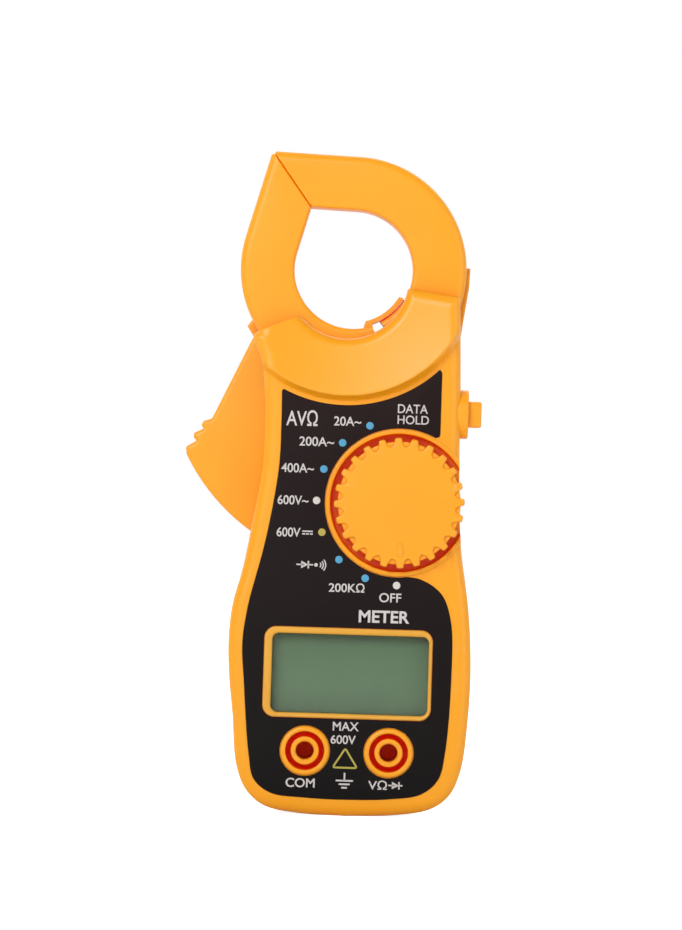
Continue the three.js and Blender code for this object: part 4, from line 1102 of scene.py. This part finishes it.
def film(flat, faces):
    """Flat faces laid on the overlay as a film with a top and a rim."""
    faces = [face if area(flat[face]) > 0 else face[::-1] for face in faces]
    directed = {edge for face in faces for edge in zip(face, face[1:] + face[:1])}
    count = len(flat)
    rim = [(a + count, b + count, b, a) for a, b in sorted(directed) if (b, a) not in directed]
    backs = [[v + count for v in face[::-1]] for face in faces]
    vertices = np.vstack([np.insert(flat, 1, y, axis=1) for y in (PRINT_Y - INK, PRINT_Y)])
    return piece("film", vertices, faces + backs + rim)


def stamp(loops):
    """A printed shape bounded by loops."""
    return plate("film", loops, PRINT_Y - INK, PRINT_Y)


def stroke(points, width, closed=False):
    """A printed line of even width along points."""
    points = np.array(points, float)
    half = width / 2
    if closed:
        return stamp([offset(points, -half), offset(points, half)])
    unit = np.gradient(points, axis=0)
    unit /= np.linalg.norm(unit, axis=1)[:, None]
    normal = np.stack([-unit[:, 1], unit[:, 0]], -1)
    return stamp([np.vstack([points + normal * half, (points - normal * half)[::-1]])])


def diode(left, right, z, half):
    """A diode sign: a line, a triangle and a bar."""
    middle = (left + right) / 2
    reach = half * 0.95
    return [
        stroke([(left, z), (middle - reach * 0.2, z)], 0.32),
        stroke([(middle + reach, z), (right, z)], 0.32),
        stamp([np.array([(middle - reach, z - half), (middle + reach, z), (middle - reach, z + half)])]),
        stroke([(middle + reach, z - half), (middle + reach, z + half)], 0.34),
    ]


def sound(x, z):
    """A dot with waves beside it."""
    waves = [stroke(arc((x, z), 0.75 + 0.55 * i, -42, 42, 0.2), 0.26) for i in range(3)]
    return [stamp([circle((x - 0.35, z), 0.42, 0.15)]), *waves]


def ground(x, top, low):
    """The sign for earth."""
    middle = low + (top - low) * 0.47
    gap = (middle - low) / 2
    heights = [middle - gap * i for i in range(3)]
    bars = [stroke([(x - w, z), (x + w, z)], 0.38) for z, w in zip(heights, (1.95, 1.25, 0.65))]
    return [stroke([(x, middle), (x, top)], 0.38), *bars]


def legends():
    """Everything printed in off-white on the overlay."""
    parts = [
        text("20A~", -5.2, 88.5, 1.0, 90.6), text("200A~", -12.9, 83.7, -5.0, 85.8),
        text("400A~", -16.8, 77.6, -9.4, 79.7), text("600V~", -17.4, 70.3, -10.4, 72.4),
        text("600V", -17.4, 63.0, -12.0, 65.1), text("⎓", -11.6, 63.6, -9.2, 64.5, 0.0),
        text("200KΩ", -5.2, 50.8, 2.9, 52.9), text("OFF", 6.3, 48.8, 11.3, 50.9),
        text("METER", 1.8, 44.1, 13.3, 46.9, 0.025), text("DATA", 9.2, 91.8, 16.0, 93.8, 0.008),
        text("HOLD", 9.2, 89.3, 16.3, 91.3, 0.008), text("AVΩ", -16.0, 88.2, -8.9, 91.8, 0.01),
        text("MAX", -3.3, 19.4, 2.6, 21.4), text("600V", -3.7, 16.4, 2.0, 18.4),
        text("COM", -13.6, 6.3, -7.0, 8.4, 0.015), text("VΩ", 5.1, 6.3, 9.4, 8.4, 0.01),
        *diode(9.7, 12.9, 7.35, 0.85), *diode(-12.7, -8.9, 56.8, 0.85),
        *sound(-7.9, 56.8), *ground(-0.3, 9.9, 6.5),
    ]
    return printed("face_print", parts, LEGEND_TINT)


def printed(name, parts, colour):
    return finish(join(name, parts), "case", paint(name, colour), sharp=60)


def range_marks():
    """The coloured dots round the knob, one at each click, and the triangle between the sockets."""
    angles = {
        "white": [270, 180],
        "yellow": [180 + CLICK],
        "blue": [270 - CLICK, 270 - 2 * CLICK, 180 - CLICK, 180 - 2 * CLICK, 180 - 3 * CLICK],
    }
    for colour, tint in MARK_TINTS.items():
        dots = [dot(on_circle(DIAL, DOT_CIRCLE, angle)) for angle in angles[colour]]
        printed(f"marks_{colour}", dots, tint)
    triangle = np.array([(-3.5, 10.8), (2.9, 10.8), (-0.3, 15.9)])
    rounded = rounded_corners(offset(triangle, 0.25), 0.25)
    printed("socket_triangle", [stroke(rounded, 0.42, True)], TRIANGLE_TINT)


def dot(centre):
    """A thick drop of paint with a domed top."""
    edge = circle(centre, DOT_RADIUS, 0.15)
    rows = [circle(centre, DOT_RADIUS * s, 0.2) for s in (0.35, 0.6, 0.8, 0.92)]
    def front(points):
        r = np.hypot(*(points - centre).T) / DOT_RADIUS
        return PRINT_Y - INK - 0.07 * np.sqrt(np.maximum(0, 1 - r * r))
    return plate("dot", [edge], front, PRINT_Y, rows)


# ------------------------------------------------------------------ materials

class Nodes:
    """The node tree of a material or a world, with short calls for the nodes that repeat."""

    def __init__(self, name, kind="Material"):
        store = bpy.data.materials if kind == "Material" else bpy.data.worlds
        self.owner = store.new(name)
        self.owner.use_nodes = True
        self.tree = self.owner.node_tree
        self.tree.nodes.clear()
        self.output = self.node("Output" + kind)

    def put(self, socket, value):
        """Links another node's output to a socket, or gives the socket a fixed value."""
        if isinstance(value, bpy.types.NodeSocket):
            self.tree.links.new(value, socket)
        elif isinstance(value, tuple) and len(value) == 3 and socket.type == "RGBA":
            socket.default_value = (*value, 1)
        else:
            socket.default_value = value

    def node(self, kind, **inputs):
        made = self.tree.nodes.new("ShaderNode" + kind)
        for name, value in inputs.items():
            self.put(made.inputs[name.replace("_", " ")], value)
        return made

    def coordinates(self):
        return self.node("TexCoord").outputs["Object"]

    def part(self, axis, vector=None):
        """One component of a vector, by default of the object's coordinates."""
        return self.node("SeparateXYZ", Vector=vector or self.coordinates()).outputs[axis]

    def noise(self, scale, detail=3.0, roughness=0.5, vector=None):
        vector = vector or self.coordinates()
        made = self.node("TexNoise", Vector=vector, Scale=scale, Detail=detail, Roughness=roughness)
        return made.outputs["Fac"]

    def range(self, value, low, high, start=0.0, stop=1.0):
        made = self.node("MapRange", From_Min=start, From_Max=stop, To_Min=low, To_Max=high)
        self.put(made.inputs["Value"], value)
        return made.outputs["Result"]

    def mix(self, factor, first, second):
        made = self.tree.nodes.new("ShaderNodeMix")
        made.data_type = "RGBA"
        for index, value in ((0, factor), (6, first), (7, second)):
            self.put(made.inputs[index], value)
        return made.outputs[2]

    def math(self, operation, first, second):
        made = self.tree.nodes.new("ShaderNodeMath")
        made.operation = operation
        self.put(made.inputs[0], first)
        self.put(made.inputs[1], second)
        return made.outputs[0]

    def bump(self, height, depth, strength=1.0, normal=None):
        made = self.node("Bump", Height=height, Strength=strength, Distance=depth)
        if normal:
            self.put(made.inputs["Normal"], normal)
        return made.outputs["Normal"]

    def surface(self, **inputs):
        return self.finish(self.node("BsdfPrincipled", **inputs))

    def mixed(self, factor, first, second):
        """Two shaders blended by a factor."""
        shader = self.node("MixShader")
        for socket, value in zip(shader.inputs, (factor, first.outputs[0], second.outputs[0])):
            self.put(socket, value)
        return self.finish(shader)

    def finish(self, shader):
        self.put(self.output.inputs["Surface"], shader.outputs[0])
        return self.owner


def once(make):
    """Each material is made on first use and shared afterwards."""
    made = {}
    def get(*args):
        key = args[:1]
        if key not in made:
            made[key] = make(*args)
        return made[key]
    return get


def shaded(colour, share):
    return tuple(share * c for c in colour)


def moulded(name, colour, deep, rough, grain=26000, grain_depth=0.000006, wear=0.25, glow=None,
            painted_emission=0.0):
    """Moulded plastic: spark-eroded grain, faint clouding, edges rubbed paler.

    Recesses get painted shade and a painted glow: where ambient occlusion finds nearby surfaces, the base
    colour is mixed towards the glow colour and the deepest spots emit it.
    """
    n = Nodes(name)
    cloud = n.noise(60, 4)
    fine = n.noise(grain, 2)
    tone = n.mix(n.range(cloud, 0, 1, 0.3, 0.7), deep, colour)
    edge = n.range(n.node("NewGeometry").outputs["Pointiness"], 0, wear, 0.51, 0.58)
    scuff = n.math("MULTIPLY", edge, n.range(n.noise(900, 5, 0.7), 0, 1, 0.45, 0.65))
    pale = tuple(min(1, 0.75 * c + 0.25) for c in colour)
    tone = n.mix(scuff, tone, pale)
    gloss = n.math("ADD", n.range(cloud, rough - 0.03, rough + 0.04), n.range(fine, -0.03, 0.03))
    waves = n.bump(n.noise(220, 2), 0.00002, 0.25)
    normal = n.bump(fine, grain_depth, 0.6, waves)
    # Without a recess colour, the only painted light is an even glow of the base colour, used for the plug
    # stops.
    if not glow:
        return n.surface(Base_Color=tone, Roughness=gloss, Normal=normal, Specular_IOR_Level=0.4,
                         Emission_Color=colour + (1,), Emission_Strength=painted_emission)
    # Painted shade and painted glow: ambient occlusion finds recesses, mixes the base colour there towards
    # the dark red-orange and lets the deepest spots emit it, except near the floor.
    openness = n.node("AmbientOcclusion", Distance=PAINTED_RECESS_REACH)
    openness.samples = 6
    openness = openness.outputs["AO"]
    height = n.part("Z", n.node("NewGeometry").outputs["Position"])
    clear_of_floor = n.range(height, 0, 1, FLOOR_Z + 0.002, FLOOR_Z + 0.006)
    painted_shade_mask = n.math("MULTIPLY", n.range(openness, 0.85, 0, 0.05, 0.45), clear_of_floor)
    depth = n.math("POWER", n.range(openness, 1, 0, 0, 0.3), 4)
    strength = n.math("MULTIPLY", n.math("MULTIPLY", depth, clear_of_floor), PAINTED_EMISSION_STRENGTH)
    return n.surface(Base_Color=n.mix(painted_shade_mask, tone, glow), Roughness=gloss, Normal=normal,
                     Specular_IOR_Level=0.5, Emission_Color=glow, Emission_Strength=strength)


@once
def orange():
    # Case plastic, with painted shade and painted glow in its recesses.
    return moulded("orange_plastic", ORANGE, ORANGE_DEEP, 0.36, glow=PAINTED_RECESS_RED)


@once
def painted_bore_red():
    """Dark red-orange with an even painted glow, standing in for the shade deep in the socket bores."""
    return moulded("painted_bore_red_plastic", PAINTED_RECESS_RED, PAINTED_RECESS_RED, 0.5, painted_emission=0.24)


@once
def gold():
    """The display frame, a duller and darker yellow than the case."""
    return moulded("bezel_dull_yellow", (0.84, 0.41, 0.043), (0.76, 0.36, 0.035), 0.36)


@once
def plain_plastic(name, colour, rough):
    return moulded(name, colour, shaded(colour, 0.86), rough, 18000, 0.000004, 0.15)


@once
def overlay():
    """Satin printed film: nearly black with a warm cast, made lighter and warmer towards the top as painted
    light, with fine matt speckle and faint ripples.
    """
    n = Nodes("overlay_film")
    lower, upper = (0.0035, 0.0032, 0.0032), (0.014, 0.0055, 0.0058)
    # Painted light: the film gets lighter and warmer towards the top.
    tone = n.mix(n.range(n.part("Z"), 0, 1, -0.068, 0.02), lower, upper)
    tone = n.mix(n.range(n.noise(9000, 2), 0, 0.35, 0.4, 0.7), tone, (0.013, 0.008, 0.008))
    gloss = n.range(n.noise(300, 3), 0.42, 0.5)
    normal = n.bump(n.noise(30000, 2), 0.000004, 0.5, n.bump(n.noise(90, 2), 0.00004, 0.15))
    return n.surface(Base_Color=tone, Roughness=gloss, Normal=normal, Specular_IOR_Level=0.13)


@once
def paint(name, colour):
    """Screen-printed ink with a slightly uneven film."""
    n = Nodes(name + "_ink")
    tone = n.mix(n.range(n.noise(4000, 3), 0, 0.3, 0.35, 0.7), colour, shaded(colour, 0.8))
    return n.surface(Base_Color=tone, Roughness=0.55, Normal=n.bump(n.noise(16000, 2), 0.000006, 0.5))


@once
def clear():
    """A thin hard window: reflects by angle and otherwise lets light through."""
    n = Nodes("clear_window")
    gloss = n.range(n.noise(400, 3), 0.16, 0.24)
    shine = n.node("BsdfAnisotropic", Color=(1.0, 1.0, 1.0), Roughness=gloss)
    through = n.node("BsdfTransparent", Color=(0.93, 0.95, 0.92))
    outside = n.math("SUBTRACT", 1.0, n.node("NewGeometry").outputs["Backfacing"])
    fresnel = n.math("MULTIPLY", n.node("Fresnel", IOR=1.45).outputs[0], outside)
    return n.mixed(fresnel, through, shine)


@once
def liquid_crystal():
    """A switched-off display: grey-green, a shade darker at its ends, with a very fine pixel grid."""
    n = Nodes("liquid_crystal")
    low, high = (to_frame([corner])[0][2] for corner in millimetres("display_glass"))
    half = (high - low) / 2
    away = n.math("ABSOLUTE", n.math("SUBTRACT", n.part("Z"), (low + high) / 2), 0)
    tone = n.mix(n.range(away, 0, 1, 0.3 * half, half), LCD, shaded(LCD, 0.8))
    tone = n.mix(n.range(n.noise(70, 3), 0, 0.35, 0.35, 0.7), tone, (LCD[0] * 1.12, LCD[1], LCD[2] * 0.96))
    tone = n.mix(n.range(n.noise(12000, 1), 0, 0.04, 0.4, 0.6), tone, shaded(LCD, 0.85))
    return n.surface(Base_Color=tone, Roughness=0.42, Normal=n.bump(n.noise(600, 2), 0.000004, 0.3))


def metal(name, colour, rough, scratch=0.35):
    """Drawn or plated metal: fine lengthways scratches, smudges and a little tarnish."""
    n = Nodes(name)
    stretched = n.node("Mapping", Vector=n.coordinates(), Scale=(900, 9000, 9000)).outputs["Vector"]
    lines = n.noise(1.0, 3, 0.6, stretched)
    smudge = n.noise(350, 4)
    tone = n.mix(n.range(smudge, 0, 0.6, 0.45, 0.75), colour, shaded(colour, 0.62))
    gloss = n.math("ADD", n.range(smudge, rough - 0.05, rough + 0.12), n.range(lines, -0.04, 0.06))
    normal = n.bump(lines, 0.000006, scratch)
    return n.surface(Base_Color=tone, Metallic=1.0, Roughness=gloss, Normal=normal)


@once
def steel():
    return metal("steel", (0.5, 0.5, 0.51), 0.3)


@once
def nickel():
    return metal("nickel_plate", (0.66, 0.62, 0.55), 0.24)


@once
def brass():
    return metal("brass", BRASS, 0.28)


@once
def laminated():
    """Core steel: the edges of stacked sheets show as fine lines across the depth."""
    n = Nodes("core_laminations")
    sheet_thickness = 0.00035
    sheet = n.math("PINGPONG", n.math("MULTIPLY", n.part("Y"), 1 / sheet_thickness), 0.5)
    dark = n.range(sheet, 1, 0, 0.05, 0.16)
    tone = n.mix(dark, (0.42, 0.42, 0.44), (0.09, 0.09, 0.1))
    tone = n.mix(n.range(n.noise(500, 4), 0, 0.5, 0.5, 0.75), tone, (0.22, 0.16, 0.12))
    return n.surface(Base_Color=tone, Metallic=1.0, Roughness=0.42, Normal=n.bump(sheet, 0.00003, 0.5))


@once
def winding():
    """Enamelled copper: fine turns side by side, glossy, with darker grooves."""
    n = Nodes("enamelled_copper")
    x = n.math("SUBTRACT", n.part("X"), JAW[0] * MM)
    z = n.math("SUBTRACT", n.part("Z"), (JAW[1] - ORIGIN_Z) * MM)
    turns_per_radian = 110
    turn = n.math("MULTIPLY", n.math("ARCTAN2", z, x), turns_per_radian)
    strand = n.math("PINGPONG", turn, 0.5)
    tone = n.mix(n.range(strand, 1, 0, 0.02, 0.3), (0.62, 0.2, 0.06), (0.12, 0.03, 0.012))
    tone = n.mix(n.range(n.noise(300, 4), 0, 0.4, 0.4, 0.7), tone, (0.35, 0.09, 0.03))
    return n.surface(Base_Color=tone, Metallic=0.85, Roughness=0.3, Coat_Weight=0.6,
                     Normal=n.bump(strand, 0.00008, 0.8))


@once
def circuit_board():
    """Solder mask over copper tracks, with the glass weave faintly showing."""
    n = Nodes("circuit_board")
    cells = n.node("TexVoronoi", Vector=n.coordinates(), Scale=260.0)
    cells.distance = "MANHATTAN"
    track = n.range(cells.outputs["Distance"], 0, 1, 0.34, 0.4)
    tone = n.mix(track, (0.012, 0.1, 0.042), (0.03, 0.2, 0.085))
    thread = 0.0006
    weave_x, weave_z = (
        n.math("PINGPONG", n.math("MULTIPLY", n.part(axis), 1 / thread), 0.5) for axis in ("X", "Z")
    )
    weave = n.math("ADD", weave_x, weave_z)
    tone = n.mix(n.range(weave, 0, 0.18), tone, (0.05, 0.22, 0.1))
    height = n.math("ADD", n.range(weave, 0, 0.15), track)
    return n.surface(Base_Color=tone, Roughness=0.32, Coat_Weight=0.3, Normal=n.bump(height, 0.00003, 0.6))


@once
def cell_wrap():
    """A battery's printed sleeve: a coloured band, a paler band and bare metal towards the ends."""
    n = Nodes("cell_wrap")
    side = n.math("ABSOLUTE", n.part("X"), 0)
    ends = n.range(side, 0, 1, 0.0214, 0.0216)
    band = n.range(side, 0, 1, 0.0134, 0.0136)
    tone = n.mix(band, (0.02, 0.07, 0.2), (0.42, 0.4, 0.36))
    tone = n.mix(n.range(n.noise(90, 3), 0, 0.12, 0.4, 0.7), tone, (0.016, 0.05, 0.15))
    tone = n.mix(ends, tone, (0.6, 0.58, 0.53))
    gloss = n.range(n.noise(500, 3), 0.22, 0.36)
    return n.surface(Base_Color=tone, Metallic=n.range(ends, 0.0, 1.0), Roughness=gloss,
                     Normal=n.bump(n.noise(140, 2), 0.0001, 0.2))


@once
def foil():
    """Brushed silver label stock."""
    n = Nodes("label_foil")
    stretched = n.node("Mapping", Vector=n.coordinates(), Scale=(250, 9000, 14000)).outputs["Vector"]
    lines = n.noise(1.0, 3, 0.6, stretched)
    tone = n.mix(n.range(lines, 0, 1, 0.3, 0.7), (0.5, 0.5, 0.49), (0.62, 0.62, 0.6))
    return n.surface(Base_Color=tone, Metallic=0.6, Roughness=n.range(lines, 0.34, 0.5),
                     Normal=n.bump(lines, 0.000008, 0.5))


@once
def ceramic():
    """The sounder's disc: brass rim and a silvered ceramic middle."""
    n = Nodes("sounder_disc")
    low, high = millimetres("buzzer_disc")
    centre = to_frame([(low + high) / 2])[0]
    away = n.node("VectorMath", Vector=n.coordinates())
    away.operation = "DISTANCE"
    away.inputs[1].default_value = tuple(centre)
    middle = n.range(away.outputs["Value"], 1, 0, 0.0040, 0.0042)
    tone = n.mix(middle, BRASS, (0.7, 0.68, 0.64))
    return n.surface(Base_Color=tone, Metallic=1.0, Roughness=n.range(n.noise(500, 4), 0.25, 0.45),
                     Normal=n.bump(n.noise(7000, 2), 0.000006, 0.6))


def dress(node, material):
    """Gives a carried-over CAD node its material."""
    materials = frame["nodes"][node].data.materials
    materials.clear()
    materials.append(material)


def internals():
    """Materials for the nodes that keep their CAD meshes."""
    white = plain_plastic("white_plastic", (0.6, 0.6, 0.56), 0.5)
    dark = plain_plastic("dark_plastic", (0.022, 0.022, 0.024), 0.5)
    red = plain_plastic("red_insulation", (0.38, 0.015, 0.01), 0.4)
    blue = plain_plastic("blue_moulding", (0.03, 0.12, 0.3), 0.4)
    plan = {
        white: ["coil_bobbin", "dial_rotor", "display_frame"],
        dark: ["hold_switch_plunger", "hold_switch_body", "zebra_strip", "chip_blob", "coil_lead_2"],
        red: ["thermistor", "coil_lead_1"], blue: ["trimmer"],
        steel(): ["jaw_pivot_pin", "detent_ball_1", "detent_ball_2", "detent_spring_1", "detent_spring_2"],
        laminated(): ["swinging_jaw_core", "fixed_jaw_core"], winding(): ["coil_winding"],
        brass(): ["wiper_contact_1", "wiper_contact_2"], ceramic(): ["buzzer_disc"],
        nickel(): ["battery_contact_positive", "battery_contact_negative", "battery_link"],
        circuit_board(): ["main_board"], cell_wrap(): ["battery_lower", "battery_upper"],
        liquid_crystal(): ["display_glass"],
    }
    for material, nodes in plan.items():
        for node in nodes:
            dress(node, material)


# ------------------------------------------------------------------ studio

def floor():
    """A pale disc under the meter, lifted to white where the camera sees it."""
    mesh = bmesh.new()
    bmesh.ops.create_circle(mesh, cap_ends=True, radius=FLOOR_RADIUS, segments=96)
    data = bpy.data.meshes.new("floor")
    mesh.to_mesh(data)
    mesh.free()
    made = bpy.data.objects.new("floor", data)
    made.location = (0, 0, FLOOR_Z)
    bpy.context.scene.collection.objects.link(made)
    n = Nodes("floor")
    tone = n.mix(n.range(n.noise(3, 2), 0, 1), (0.8, 0.8, 0.8), (0.83, 0.83, 0.83))
    seen = n.node("LightPath").outputs["Is Camera Ray"]
    made.data.materials.append(n.surface(
        Base_Color=tone, Roughness=0.9, Specular_IOR_Level=0.1,
        Emission_Color=(1.0, 1.0, 1.0), Emission_Strength=n.math("MULTIPLY", seen, FLOOR_LIFT)))


def surround():
    """White for the camera; for the meter a soft light that is stronger from behind than from in front."""
    n = Nodes("studio", "World")
    bpy.context.scene.world = n.owner
    direction = n.node("TexCoord").outputs["Generated"]
    strength = n.range(n.part("Y", direction), WORLD_LIGHT, SWEEP_LIGHT, -0.25, 0.35)
    strength.node.interpolation_type = "SMOOTHSTEP"
    light = n.node("Background", Color=(1.0, 1.0, 1.0), Strength=strength)
    backdrop = n.node("Background", Color=(1.0, 1.0, 1.0), Strength=1.0)
    n.mixed(n.node("LightPath").outputs["Is Camera Ray"], light, backdrop)


def lights():
    """Large soft lamps that point at the middle of the frame."""
    for name, place, size, power in LIGHTS:
        light = bpy.data.lights.new(name, "AREA")
        light.shape = "RECTANGLE"
        light.size, light.size_y = size
        light.energy = power
        lamp = bpy.data.objects.new(name, light)
        lamp.location = place
        lamp.rotation_euler = (-Vector(place)).to_track_quat("-Z", "Y").to_euler()
        lamp.visible_camera = False
        bpy.context.scene.collection.objects.link(lamp)


def camera():
    """A long lens level with the middle of the meter, looking straight at its face."""
    data = bpy.data.cameras.new("camera")
    data.lens = 250
    data.clip_start = 0.05
    data.clip_end = 50
    view = bpy.data.objects.new("camera", data)
    turn = Matrix.Rotation(math.radians(90), 4, "X") @ Matrix.Rotation(math.radians(CAMERA_ROLL), 4, "Z")
    aim = Vector(to_frame([AIM])[0])
    view.matrix_world = Matrix.Translation(aim - Vector((0, CAMERA_DISTANCE, 0))) @ turn
    bpy.context.scene.collection.objects.link(view)
    bpy.context.scene.camera = view


# ------------------------------------------------------------------ assembly

front_housing()
bezel()
rear_housing()
swinging_jaw()
fixed_jaw()
dial_knob()
hold_button()
battery_cover()
for number in range(1, 5):
    screw(f"case_screw_{number}", "case")
screw("battery_cover_screw", "cover")
face_label()
back_label()
display_lens()
for name, place in zip(("common_socket", "voltage_socket"), SOCKETS):
    socket_sleeve(name, place)
return_spring()
legends()
range_marks()
internals()
floor()
surround()
lights()
camera()
bpy.context.scene.view_settings.view_transform = "Standard"
